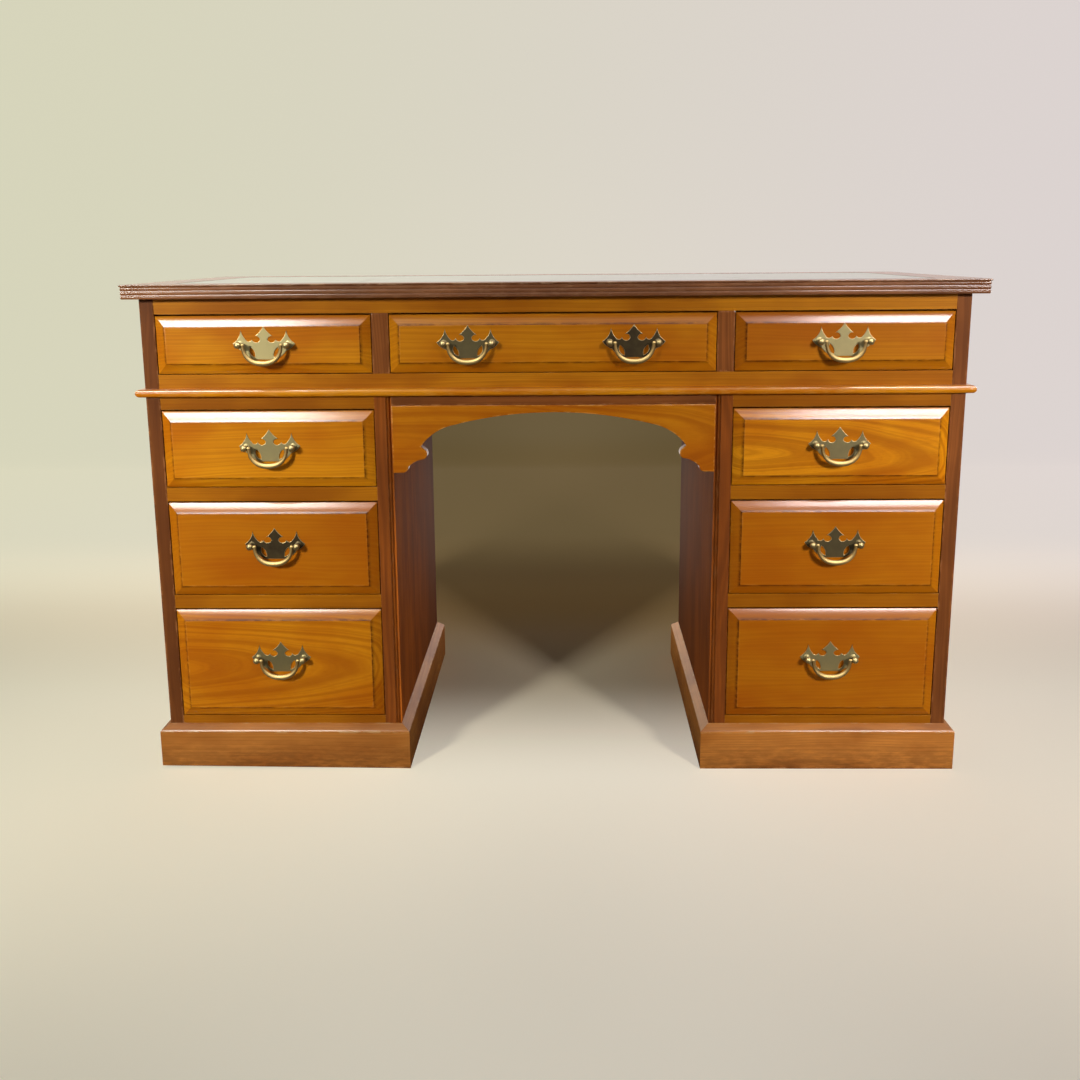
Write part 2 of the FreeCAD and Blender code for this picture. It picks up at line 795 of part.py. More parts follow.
def build_drawer(name, middle, width, sill, height, rise, handles):
    """One drawer with its handles.

    middle, width, sill and height place its opening, rise lifts the handles above the opening's
    middle, and handles maps their names to their X.
    """
    front_width = f"{width} - 2 * drawer_gap"
    front_height = f"{height} - drawer_gap - drawer_top_gap"
    half_width = f"({front_width}) / 2"
    left_x = f"{middle} - {half_width}"
    blank = front_blank(name, front_width, front_height)
    place(blank, middle, "front_y", f"{sill} + drawer_gap + ({front_height}) / 2")

    bottom = board(
        name + "_bottom",
        (
            left_x + " + drawer_side - groove_depth",
            "front_y + front_thickness - groove_depth",
            f"{sill} + runner_clearance + bottom_lift",
        ),
        (
            f"{front_width} - 2 * (drawer_side - groove_depth)",
            "drawer_length - front_thickness + groove_depth",
            "bottom_thickness",
        ),
    )
    sides = []
    for side, x in (("left", left_x), ("right", f"{middle} + {half_width} - drawer_side")):
        plank = shaped(f"{name}_{side}_plank", side_board(amount(height)))
        place(plank, x, "front_y", sill)
        sides.append(cut(f"{name}_{side}_side", plank, bottom))
    back_low = "runner_clearance + bottom_lift + bottom_thickness"
    back_height = f"{height} - drawer_top_gap - back_drop - ({back_low})"
    back = board(
        name + "_back",
        (left_x + " + drawer_side", "front_y + drawer_length - drawer_side", f"{sill} + {back_low}"),
        (front_width + " - 2 * drawer_side", "drawer_side", back_height),
    )
    box = group(name + "_boards", sides + [back, bottom])

    fittings = []
    holes = []
    handle_z = f"{sill} + {height} / 2 + {rise}"
    for handle, x in handles.items():
        fitting = shaped(f"{handle}_fittings", handle_fittings())
        place(fitting, x, "front_y - field_proud", handle_z)
        fittings.append(fitting)
        for side, sign in (("left", "-"), ("right", "+")):
            hole = doc.addObject("Part::Cylinder", f"{handle}_{side}_hole")
            bind(hole, Radius="shank_diameter / 2 + shank_clearance", Height="front_thickness + field_proud")
            hole.Placement.Rotation = Rotation(Vector(1, 0, 0), -90)
            place(hole, f"{x} {sign} post_spacing / 2", "front_y - field_proud", handle_z)
            holes.append(hole)
        bail = shaped(handle + "_swing", bail_solid())
        place(bail, x, "front_y - field_proud - plate_thickness - ball_standoff", handle_z)
        keep(bail, handle + "_bail")
    front = cut(name + "_jointed_front", blank, group(name + "_joints", [box] + holes))
    keep(front, name + "_front")
    keep(box, name + "_box")
    keep(group(name + "_handle_fittings", fittings), name + "_plate")


def build_drawers():
    """Nine drawers: three in the frieze and three in each pedestal."""
    build_drawer(
        "centre_drawer",
        "0",
        "kneehole_width",
        "frieze_open_bottom",
        "frieze_opening",
        "handle_rise_frieze",
        {"centre_drawer_left": "-centre_handle_left", "centre_drawer_right": "centre_handle_right"},
    )
    openings = (
        ("1", "frieze_open_bottom", "frieze_opening", "handle_rise_frieze"),
        ("2", "open_1_bottom", "opening_1", "handle_rise_1"),
        ("3", "open_2_bottom", "opening_2", "handle_rise_2"),
        ("4", "open_3_bottom", "opening_3", "handle_rise_3"),
    )
    for side in SIDES:
        sign = "" if side == "right" else "-"
        for number, sill, height, rise in openings:
            name = f"{side}_drawer_{number}"
            middle = sign + "side_middle"
            handles = {name: f"{sign}(side_middle - side_handle_inset)"}
            build_drawer(name, middle, "side_opening", sill, height, rise, handles)


def check_model():
    """Stop if an object failed or a sub-part has no sound shape."""
    for item in doc.Objects:
        if "Invalid" in item.State or "Error" in item.State:
            raise RuntimeError(f"{item.Label} failed: {item.State}")
    for item in sub_parts:
        if item.Shape.isNull() or not item.Shape.isValid() or not item.Shape.Solids:
            raise RuntimeError(f"{item.Label} has no valid shape")


build_top()
build_frieze()
build_kneehole()
for pedestal_side in SIDES:
    build_pedestal(pedestal_side)
build_drawers()
doc.recompute()
check_model()

os.makedirs("parts", exist_ok=True)
for item in sub_parts:
    item.Shape.exportStep(f"parts/{item.Label}.step")
print(len(sub_parts), "sub-parts")
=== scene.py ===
import json
import math

import bpy
import numpy as np
from mathutils import Matrix, Vector
from mathutils.geometry import tessellate_polygon

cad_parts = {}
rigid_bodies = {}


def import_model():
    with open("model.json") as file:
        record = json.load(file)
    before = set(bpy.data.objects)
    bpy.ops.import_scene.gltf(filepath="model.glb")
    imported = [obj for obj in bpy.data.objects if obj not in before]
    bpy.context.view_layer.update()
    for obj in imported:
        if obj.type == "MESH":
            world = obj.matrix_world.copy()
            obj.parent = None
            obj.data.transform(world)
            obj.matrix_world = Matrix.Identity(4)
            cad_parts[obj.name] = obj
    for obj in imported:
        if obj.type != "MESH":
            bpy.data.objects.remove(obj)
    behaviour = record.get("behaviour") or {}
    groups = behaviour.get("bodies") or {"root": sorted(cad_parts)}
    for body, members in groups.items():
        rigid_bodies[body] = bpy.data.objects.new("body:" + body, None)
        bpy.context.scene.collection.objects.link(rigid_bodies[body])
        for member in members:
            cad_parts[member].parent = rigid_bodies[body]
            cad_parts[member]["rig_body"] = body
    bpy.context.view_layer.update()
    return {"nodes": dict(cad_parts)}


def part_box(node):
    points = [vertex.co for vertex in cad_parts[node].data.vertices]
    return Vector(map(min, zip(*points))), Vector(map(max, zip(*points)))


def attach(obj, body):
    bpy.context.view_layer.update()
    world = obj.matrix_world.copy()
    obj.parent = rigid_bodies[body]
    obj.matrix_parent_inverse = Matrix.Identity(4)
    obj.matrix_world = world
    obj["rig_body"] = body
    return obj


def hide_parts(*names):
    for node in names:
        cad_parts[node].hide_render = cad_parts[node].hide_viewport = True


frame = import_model()

# Everything is in metres. X runs to the right, the front faces -Y and Z is up.
# Outer sides of the pedestals: squared boards with the fibres upright, stained dark, standing on
# the plinths. The frieze ends above them are boards of the same kind. Their front edges are the
# dark stiles beside the drawers.
PAIR = {"left": -1, "right": 1}
ARRIS = 0.0006
FADE = 0.0028


class Value:
    """A number, colour or vector that changes over a surface. Operators on a number add Math nodes."""

    def __init__(self, finish, made, output):
        self.finish = finish
        self.made = made
        self.socket = made.outputs[output]

    def output(self, name):
        return Value(self.finish, self.made, name)

    def math(self, operation, *values):
        return self.finish.node("Math", {"operation": operation}, dict(enumerate(values)))

    def __add__(self, other):
        return self.math("ADD", self, other)

    def __sub__(self, other):
        return self.math("SUBTRACT", self, other)

    def __rsub__(self, other):
        return self.math("SUBTRACT", other, self)

    def __mul__(self, other):
        return self.math("MULTIPLY", self, other)

    def __pow__(self, other):
        return self.math("POWER", self, other)

    __radd__ = __add__
    __rmul__ = __mul__

    def larger(self, other):
        return self.math("MAXIMUM", self, other)

    def rise(self, low, high):
        """0 below low, 1 above high and smooth between them."""
        return self.finish.node("MapRange", {"interpolation_type": "SMOOTHSTEP"}, {0: self, 1: low, 2: high})


class Finish:
    """The nodes of a material, or of the room's light, added by one method."""

    def __init__(self, owner, last="OutputMaterial"):
        self.owner = owner
        self.last = last
        owner.use_nodes = True
        self.tree = owner.node_tree
        self.tree.nodes.clear()

    def node(self, kind, settings=None, values=None, output=0):
        made = self.tree.nodes.new("ShaderNode" + kind)
        for name, setting in (settings or {}).items():
            setattr(made, name, setting)
        for name, value in (values or {}).items():
            if isinstance(value, Value):
                self.tree.links.new(value.socket, made.inputs[name])
            else:
                made.inputs[name].default_value = value
        return Value(self, made, output)

    def noise(self, spot, stretch, detail=2.0, roughness=0.5):
        """Soft noise from 0 to 1 on a stretched place: stretch is how many cells lie in a metre each way."""
        moved = self.node("Mapping", values={"Vector": spot, "Scale": stretch})
        values = {"Vector": moved, "Scale": 1, "Detail": detail, "Roughness": roughness}
        return self.node("TexNoise", values=values)

    def attribute(self, name, output="Fac"):
        return self.node("Attribute", {"attribute_name": name}).output(output)

    def mix(self, factor, first, second):
        return self.node("Mix", {"data_type": "RGBA"}, {0: factor, 6: first, 7: second}, 2)

    def end(self, shader_values):
        """The surface itself, from the values of its Principled shader."""
        return self.out(self.node("BsdfPrincipled", values=shader_values))

    def out(self, shader):
        made = self.tree.nodes.new("ShaderNode" + self.last)
        self.tree.links.new(shader.socket, made.inputs["Surface"])
        return self.owner


def paint(red, green, blue):
    """A colour given as it looks, 0 to 255, turned into linear light."""
    share = np.array([red, green, blue]) / 255
    light = np.where(share > 0.04045, ((share + 0.055) / 1.055) ** 2.4, share / 12.92)
    return (*light.tolist(), 1.0)


# Where the origin of a CAD node lies in its log, along it and off its heart.
LOG_PLACE = (3.1, 0.16, 0.11)


def wood(
    name,
    pale,
    deep,
    streaky,
    worn_and_highlit,
    grimy_and_shaded,
    on_node=False,
    turn=(0, 0, 0),
    polish=0.6,
    figure=0.6,
    fibres=0.35,
    rings=260,
    rough=0.4,
):
    """Polished wood. The growth rings lie round a pith line that wanders, so a board shows straight
    lines or flames as it is sawn. Fine fibres and pores run along it. Edges are rubbed pale where the
    wear is high, and on the bead moulding that paleness is partly a painted highlight. Surfaces darken
    where the grime value is high: painted shade in the drawer fronts' steps and gaps, and elsewhere a
    darkening towards the floor and in hollows. Each board has a tone, which on the drawer fronts and
    the kneehole sides carries painted shade as well."""
    finish = Finish(bpy.data.materials.new(name))
    pale, deep, streaky, worn_and_highlit, grimy_and_shaded = (paint(*shade) for shade in (pale, deep, streaky, worn_and_highlit, grimy_and_shaded))
    if on_node:
        spot = finish.node("TexCoord").output("Object")
        spot = finish.node("Mapping", values={"Vector": spot, "Rotation": turn, "Location": LOG_PLACE})
        true_normal = finish.node("NewGeometry").output("Normal")
        soft_normal = finish.node("Bevel", {"samples": 4}, {"Radius": 0.0015})
        normals = {0: true_normal, 1: soft_normal}
        facing = finish.node("VectorMath", {"operation": "DOT_PRODUCT"}, normals, "Value")
        wear_and_highlight = (1 - facing).rise(0.002, 0.12)
        grime_and_shade = 0
        tone = 0
    else:
        spot = finish.attribute("grain", "Vector")
        soft_normal = None
        wear_and_highlight = finish.attribute("wear_and_highlight")
        grime_and_shade = finish.attribute("grime_and_shade")
        tone = finish.attribute("tone")
    parts = finish.node("SeparateXYZ", values={"Vector": spot})
    wander = finish.noise(spot, (1.6, 7, 7), 2)
    waver = finish.noise(spot, (3.2, 16, 16), 3)
    across = parts.output("Y") + (wander - 0.5) * 0.05
    depth = parts.output("Z") + (waver - 0.5) * 0.018
    radius = (across * across + depth * depth) ** 0.5
    ring = finish.node("TexNoise", {"noise_dimensions": "1D"}, {"W": radius * rings, "Scale": 1, "Detail": 3})
    fibre = finish.noise(spot, (7, 520, 520), 3, 0.6)
    hair = finish.noise(spot, (45, 2400, 2400), 2)
    cloud = finish.noise(spot, (6, 13, 13), 3)
    colour = finish.mix(cloud.rise(0.3, 0.7), pale, deep)
    colour = finish.mix(tone, colour, streaky)
    colour = finish.mix(ring.rise(0.64, 0.36) * figure, colour, streaky)
    colour = finish.mix(fibre.rise(0.45, 0.75) * fibres, colour, streaky)
    colour = finish.mix(hair.rise(0.58, 0.74) * fibres * 0.8, colour, streaky)
    rub = finish.noise(spot, (45, 160, 160), 3, 0.65)
    colour = finish.mix((wear_and_highlight * rub.rise(0.45, 0.68)) * 0.7, colour, worn_and_highlit)
    colour = finish.mix(grime_and_shade * rub.rise(0.75, 0.35), colour, grimy_and_shaded)
    height = fibre * 0.5 + hair * 0.3 + ring * 0.3
    bump_values = {"Strength": 0.16, "Distance": 0.0006, "Height": height}
    if soft_normal:
        bump_values["Normal"] = soft_normal
    return finish.end(
        {
            "Base Color": colour,
            "Roughness": rough + fibre * 0.14 + wear_and_highlight * 0.1 + grime_and_shade * 0.2,
            "Normal": finish.node("Bump", values=bump_values),
            "Specular IOR Level": 0.03,
            "Coat Weight": polish - rub * 0.2,
            "Coat Roughness": 0.18,
        }
    )


class Skin:
    """A closed part of a piece: its points, its faces, and at each point the wear, the grime and the tone,
    which on some pieces also carry painted highlight and painted shade.
    """

    def __init__(self, points, quads, others=(), wear_and_highlight=0.0, grime_and_shade=0.0):
        self.points = np.asarray(points, float)
        self.faces = np.asarray(quads, int).tolist() + [list(face) for face in others]
        self.wear_and_highlight = np.zeros(len(self.points)) + wear_and_highlight
        self.grime_and_shade = np.zeros(len(self.points)) + grime_and_shade
        self.tone = np.zeros(len(self.points))
        self.grain = self.points.copy()
        fans = np.array([(f[0], f[i], f[i + 1]) for f in self.faces for i in range(1, len(f) - 1)])
        a, b, c = (self.points[fans[:, i]] - self.points[0] for i in range(3))
        if (a * np.cross(b, c)).sum() < 0:
            self.faces = [face[::-1] for face in self.faces]

    def sawn(self, along, across, depth, pith, shift):
        """Where each point lies in its log: along the fibres, across the board and in its depth, the
        board's middle being at pith from the log's heart."""
        middle = (self.points.min(0) + self.points.max(0)) / 2
        axes = np.array([along, across, depth], float).T
        self.grain = (self.points - middle) @ axes + np.array([shift, *pith])
        return self


# Each board comes from its own place along a long log. A flamed board is sawn at a slope to the
# log's heart, so that its rings come to points.
logs = np.random.default_rng(1890)
LOG_LENGTH = 40
FLAME_SLOPE = 0.14


def pith_of(figure):
    """How far a board's middle lies from its log's heart: far for straight lines, near for flames."""
    if figure == "straight":
        return logs.uniform(0.10, 0.16), logs.uniform(0.04, 0.09)
    return logs.uniform(-0.01, 0.01), logs.uniform(0.035, 0.05)


def eased(outline, radius, fade):
    """Round the corners of a closed outline. Corner C becomes C + (r + f)A, C + rA, C + r(A + B)/4,
    C + rB and C + (r + f)B, where A and B point along the two sides, r is the radius and f the fade."""
    before = np.roll(outline, 1, 0) - outline
    after = np.roll(outline, -1, 0) - outline
    before /= np.linalg.norm(before, axis=1, keepdims=True)
    after /= np.linalg.norm(after, axis=1, keepdims=True)
    steps = [before * (radius + fade), before * radius, (before + after) * radius / 4]
    steps += [after * radius, after * (radius + fade)]
    return (outline[:, None] + np.stack(steps, 1)).reshape(-1, 2)


def inset(outline, distance):
    """Move a closed anticlockwise outline inwards by a distance, each point along the bisector there."""
    ahead = np.roll(outline, -1, 0) - outline
    ahead /= np.linalg.norm(ahead, axis=1, keepdims=True)
    inward = np.stack([-ahead[:, 1], ahead[:, 0]], 1)
    both = inward + np.roll(inward, 1, 0)
    stretch = np.maximum((both * inward).sum(1, keepdims=True), 0.7)
    return outline + both * distance / stretch


# The middle of a rounded edge lies this share of the radius below both faces.
ROUND_SHARE = 0.29


def end_levels(low, high, ease, fade):
    """Rings of a prism with eased ends: each is a place along it, an inset and the wear there."""
    mid = ROUND_SHARE * ease
    near = [(0, ease + fade, 0), (0, ease, 1), (mid, mid, 1), (ease, 0, 1), (ease + fade, 0, 0)]
    return [(low + d, i, w) for d, i, w in near] + [(high - d, i, w) for d, i, w in reversed(near)]


def prism(corners, low, high, order, ease=ARRIS, fade=FADE):
    """A board: a cornered outline in the first two axes of order, carried along the third with all
    its edges eased."""
    corners = np.asarray(corners, float)
    size = min(np.ptp(corners, 0).min(), high - low)
    fade = min(fade, 0.25 * size)
    rings = []
    wears = []
    for place, inward, worn_and_highlit in end_levels(low, high, ease, fade):
        ring = eased(inset(corners, inward), max(ease - inward, 0.15 * ease), fade)
        rings.append(np.column_stack([ring, np.full(len(ring), place)]))
        flat = inward == ease + fade
        wears.append(np.maximum(np.tile([0, 1, 1, 1, 0], len(corners)), worn_and_highlit) * (not flat))
    points = np.array(rings)[:, :, np.argsort(order)]
    return loft(points, np.array(wears, float))


def loft(rings, wear_and_highlight, grime_and_shade=0.0):
    """The skin over a stack of closed rings of equal count, flat at both ends."""
    count, length = rings.shape[:2]
    index = np.arange(count * length).reshape(count, length)
    after = np.roll(index, -1, 1)
    quads = np.stack([index[:-1], after[:-1], after[1:], index[1:]], -1).reshape(-1, 4)
    wear_and_highlight = np.broadcast_to(wear_and_highlight, (count, length)).ravel()
    grime_and_shade = np.broadcast_to(grime_and_shade, (count, length)).ravel()
    return Skin(rings.reshape(-1, 3), quads, (index[0][::-1], index[-1]), wear_and_highlight, grime_and_shade)


# For fibres along each axis: the ways along the board, across it and into its depth.
X, Y, Z = np.eye(3)
AXES = {"x": (X, Z, Y), "y": (Y, Z, X), "z": (Z, X, Y)}


def board(low, high, along, ease=ARRIS):
    """A squared board between two corners, its fibres along one axis."""
    low = np.array(low)
    high = np.array(high)
    order = {"x": (1, 2, 0), "y": (2, 0, 1), "z": (0, 1, 2)}[along]
    u, v, w = order
    corners = [(low[u], low[v]), (high[u], low[v]), (high[u], high[v]), (low[u], high[v])]
    skin = prism(corners, low[w], high[w], order, ease)
    return skin.sawn(*AXES[along], pith_of("straight"), logs.uniform(0, LOG_LENGTH))


def piece(node, word, skins, material, sharp=35):
    """A finished piece in place of a CAD node: it rides on the node's body."""
    counts = np.cumsum([0] + [len(skin.points) for skin in skins])
    points = np.concatenate([skin.points for skin in skins])
    faces = [[i + start for i in face] for skin, start in zip(skins, counts) for face in skin.faces]
    mesh = bpy.data.meshes.new(f"{node}_{word}")
    mesh.from_pydata(points, [], faces)
    for name in ("grain", "wear_and_highlight", "grime_and_shade", "tone"):
        kind, key = ("FLOAT_VECTOR", "vector") if name == "grain" else ("FLOAT", "value")
        values = np.concatenate([getattr(skin, name) for skin in skins]).astype(np.float32)
        mesh.attributes.new(name, kind, "POINT").data.foreach_set(key, values.ravel())
    mesh.shade_smooth()
    mesh.set_sharp_from_angle(angle=math.radians(sharp))
    mesh.materials.append(material)
    made = bpy.data.objects.new(mesh.name, mesh)
    bpy.context.scene.collection.objects.link(made)
    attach(made, frame["nodes"][node]["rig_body"])
    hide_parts(node)


def dress(node, material):
    """A CAD node that stays, with a finish of its own."""
    mesh = frame["nodes"][node].data
    mesh.materials.clear()
    mesh.materials.append(material)


dark_wood = wood(
    "dark_wood",
    pale=(150, 88, 40),
    deep=(118, 68, 31),
    streaky=(76, 40, 19),
    worn_and_highlit=(168, 112, 66),
    grimy_and_shaded=(44, 24, 12),
    polish=0.5,
    figure=0.35,
    fibres=0.25,
)
DARKER = {"left": 0.62, "right": 0.2}
for side in PAIR:
    low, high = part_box(f"{side}_pedestal_outer_side")
    skin = board(low, high, "z")
    skin.tone[:] = DARKER[side]
    piece(f"{side}_pedestal_outer_side", "board", [skin], dark_wood)

# Inner sides of the pedestals, beside the kneehole: the same dark boards with a quirked bead worked
# down the front corner. Their faces in the kneehole have a dull, scuffed finish, and a painted shade
# darkens them over a reach behind the front, where the kneehole's shade falls. Their front edges are
# dark too.
BEAD = 0.007
QUIRK = 0.0012
BEAD_EASE = 0.0002
BEAD_FADE = 0.0004
KNEE_DARKER = {"left": 0.0, "right": 0.25}
KNEE_SHADE_DARKEST = 0.9
KNEE_SHADE_REACH = 0.35
KNEE_FRONT = 0.5


def beaded_outline(near, far, front, back, hand):
    """Plan of a board with a quarter-round bead between two quirks at its front corner by the kneehole."""
    radius = BEAD / 2
    turn = np.radians(np.linspace(180, 270, 7))
    bead = radius + radius * (1 + np.column_stack([np.cos(turn), np.sin(turn)]))
    quirk = BEAD + QUIRK
    thick = far - near
    deep = back - front
    plan = [(quirk, 0), (thick, 0), (thick, deep), (0, deep), (0, quirk), (radius, quirk), (radius, BEAD)]
    plan = np.array(plan + bead[1:-1].tolist() + [(BEAD, radius), (quirk, radius)])
    plan = plan + (near, front)
    plan[:, 0] *= hand
    return plan if hand > 0 else plan[::-1]


knee_wood = wood(
    "knee_wood",
    pale=(192, 104, 33),
    deep=(152, 80, 25),
    streaky=(74, 40, 20),
    worn_and_highlit=(158, 100, 56),
    grimy_and_shaded=(40, 24, 14),
    polish=0.06,
    figure=0.35,
    rough=0.6,
)
for side, hand in PAIR.items():
    low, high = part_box(f"{side}_pedestal_inner_side")
    near, far = sorted((abs(low.x), abs(high.x)))
    outline = beaded_outline(near, far, low.y, high.y, hand)
    skin = prism(outline, low.z, high.z, (0, 1, 2), BEAD_EASE, BEAD_FADE)
    skin.sawn(Z, Y, X, pith_of("straight"), logs.uniform(0, LOG_LENGTH))
    # Painted shade: the faces get darker from the front towards the back of the kneehole.
    shade_depth = np.clip((skin.points[:, 1] - low.y - BEAD) / KNEE_SHADE_REACH, 0, 1)
    skin.tone[:] = KNEE_DARKER[side] + (KNEE_SHADE_DARKEST - KNEE_DARKER[side]) * shade_depth
    skin.tone[skin.points[:, 1] < low.y + BEAD / 2] = KNEE_FRONT
    piece(f"{side}_pedestal_inner_side", "board", [skin], knee_wood)

# Backs, runners and the ground board of the top: plain pine, pinned and glued inside. The runners
# are bare, and the backs are darker with a thin polish.
pine = wood(
    "pine",
    pale=(186, 146, 92),
    deep=(160, 112, 62),
    streaky=(140, 92, 48),
    worn_and_highlit=(196, 160, 110),
    grimy_and_shaded=(70, 48, 30),
    on_node=True,
    turn=(0, 0, math.pi / 2),
    polish=0.0,
)
back_pine = wood(
    "back_pine",
    pale=(150, 104, 60),
    deep=(122, 78, 42),
    streaky=(98, 60, 34),
    worn_and_highlit=(176, 136, 90),
    grimy_and_shaded=(60, 40, 26),
    on_node=True,
    polish=0.1,
)
for node in ("frieze_runners", "left_pedestal_runners", "right_pedestal_runners"):
    dress(node, pine)
for node in ("frieze_back", "left_pedestal_back", "right_pedestal_back", "top_panel"):
    dress(node, back_pine)

# Front rails: golden boards between the drawers, fibres along them, with a small stop glued behind
# each drawer front. Those of the frieze are a little paler than those of the pedestals.
GOLD = {
    "pale": (218, 146, 18),
    "deep": (190, 110, 6),
    "streaky": (142, 70, 3),
    "worn_and_highlit": (210, 152, 70),
    "grimy_and_shaded": (70, 30, 4),
}
golden = wood("golden_wood", **GOLD, figure=0.26, fibres=0.2)
flamed = wood("flamed_wood", **GOLD, figure=0.55, fibres=0.2, rings=120)
RAIL_COLOURS = {
    "frieze": ((192, 124, 18), (158, 91, 8), ["frieze_rails"]),
    "pedestal": ((170, 106, 12), (140, 80, 6), ["left_pedestal_rails", "right_pedestal_rails"]),
}
for row, (pale, deep, nodes) in RAIL_COLOURS.items():
    rail_wood = wood(
        row + "_rail",
        pale=pale,
        deep=deep,
        streaky=(126, 66, 6),
        worn_and_highlit=(206, 150, 78),
        grimy_and_shaded=(60, 28, 6),
        on_node=True,
        figure=0.35,
        fibres=0.25,
    )
    for node in nodes:
        dress(node, rail_wood)

# Plinths: four mitred boards round each pedestal's foot, planted on, with a bevelled top edge. The
# left one's front outer corner is worn off the floor.
PLINTH_THICK = 0.014
PLINTH_FACE = 0.0636
PLINTH_WEAR = 0.005
PLINTH_EASE = 0.001
PLINTH_FADE = 0.003
PLINTH_FOOT_DARKENING = 0.6
PLINTH_FOOT_DARKENING_HEIGHT = 0.02
PLINTH_DARKER = {"left": 0.3, "right": 0.0}
ALL_ROUND = ("front", "right", "back", "left")


def moulding(corners, low, high, sides, radius, fade, gap=0.00012):
    """Lengths of a moulding round a rectangle in plan. A point of the profile that stands u out from
    the rectangle ends u further along than the rectangle's corner where two lengths meet."""
    middle = np.array([(low[0] + high[0]) / 2, (low[1] + high[1]) / 2])
    half = np.array([(high[0] - low[0]) / 2, (high[1] - low[1]) / 2])
    profile = eased(np.asarray(corners, float), radius, fade)
    worn_and_highlit = np.tile([0.0, 1, 1, 1, 0], len(corners))
    skins = []
    for name in sides:
        turn = ALL_ROUND.index(name) * math.pi / 2
        along = np.round([math.cos(turn), math.sin(turn)], 9)
        outward = np.array([along[1], -along[0]])
        length = abs(along @ half)
        reach = abs(outward @ half)
        rings = []
        for sign in (-1, 1):
            neighbour = ALL_ROUND[(ALL_ROUND.index(name) + sign) % 4]
            mitred = 1 if neighbour in sides else 0
            place = sign * (length + profile[:, 0] * mitred - gap * mitred)
            plan = middle + np.outer(place, along) + np.outer(reach + profile[:, 0], outward)
            rings.append(np.column_stack([plan, profile[:, 1]]))
        rings = np.array(rings)
        skin = loft(rings, worn_and_highlit)
        across = np.array([*outward, 0.0])
        skin.sawn(np.array([*along, 0.0]), Z, across, pith_of("straight"), logs.uniform(0, LOG_LENGTH))
        skins.append(skin)
    return skins


plinth_wood = wood(
    "plinth_wood",
    pale=(206, 136, 62),
    deep=(160, 96, 38),
    streaky=(112, 62, 26),
    worn_and_highlit=(190, 152, 104),
    grimy_and_shaded=(66, 42, 24),
    polish=0.45,
    figure=0.2,
    fibres=0.25,
)
for side in PAIR:
    low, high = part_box(f"{side}_pedestal_plinth")
    low_plan = (low.x + PLINTH_THICK, low.y + PLINTH_THICK)
    high_plan = (high.x - PLINTH_THICK, high.y - PLINTH_THICK)
    profile = [(0, 0), (PLINTH_THICK, 0), (PLINTH_THICK, PLINTH_FACE), (0, high.z)]
    skins = moulding(profile, low_plan, high_plan, ALL_ROUND, PLINTH_EASE, PLINTH_FADE)
    if side == "left":
        for skin in skins:
            shares = (skin.points[:, :2] - (low.x, low.y)) / (high.x - low.x, high.y - low.y)
            lift = np.maximum(PLINTH_WEAR * (1 - shares.sum(1)), 0)
            skin.points[:, 2] = np.maximum(skin.points[:, 2], lift)
    for skin in skins:
        # Darker towards the floor.
        skin.grime_and_shade = np.clip(1 - skin.points[:, 2] / PLINTH_FOOT_DARKENING_HEIGHT, 0, 1) * PLINTH_FOOT_DARKENING
        skin.tone[:] = PLINTH_DARKER[side]
    piece(f"{side}_pedestal_plinth", "boards", skins, plinth_wood)

# Kneehole board: the dark board that ties the pedestals together under the frieze.
KNEE_BOARD_DARKER = 0.35
low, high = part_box("kneehole_top_board")
skin = board(low, high, "x")
skin.tone[:] = KNEE_BOARD_DARKER
piece("kneehole_top_board", "board", [skin], dark_wood)

# Apron: a golden board sawn to a flat arch with scrolled shoulders, glued under the kneehole board's
# front edge. Its lower edge is arcs through three points, each given as shares of the half width
# and of the height below the top, with a small straight step before the last of them.
APRON_EASE = 0.0007
APRON_FADE = 0.0016
APRON_DARKER = 0.5
APRON_LOG_SHIFT = 11.0
APRON_CROWN_SHARE = 0.108
APRON_ARC_SHARES = (
    ((0.94, 1.0), (0.915, 0.975), (0.904, 0.914)),
    ((0.904, 0.914), (0.862, 0.838), (0.807, 0.799)),
    ((0.807, 0.799), (0.785, 0.733), (0.793, 0.665)),
    ((0.823, 0.608), (0.752, 0.435), (0.611, 0.287)),
)


def arc_points(start, through, end, count):
    """Points on the circle through three points, without the last one: centre plus radius times the
    cosine and sine of an angle that grows evenly from the start to the end by way of the middle."""
    a, b, c = (complex(*point) for point in (start, through, end))
    w = (c - a) / (b - a)
    centre = (b - a) * (w - abs(w) ** 2) / (2j * w.imag) + a
    first = np.angle(a - centre)
    sweep = np.angle((b - centre) / (a - centre)) + np.angle((c - centre) / (b - centre))
    angles = first + sweep * np.arange(count) / count
    radius = abs(a - centre)
    return np.column_stack([centre.real + radius * np.cos(angles), centre.imag + radius * np.sin(angles)])


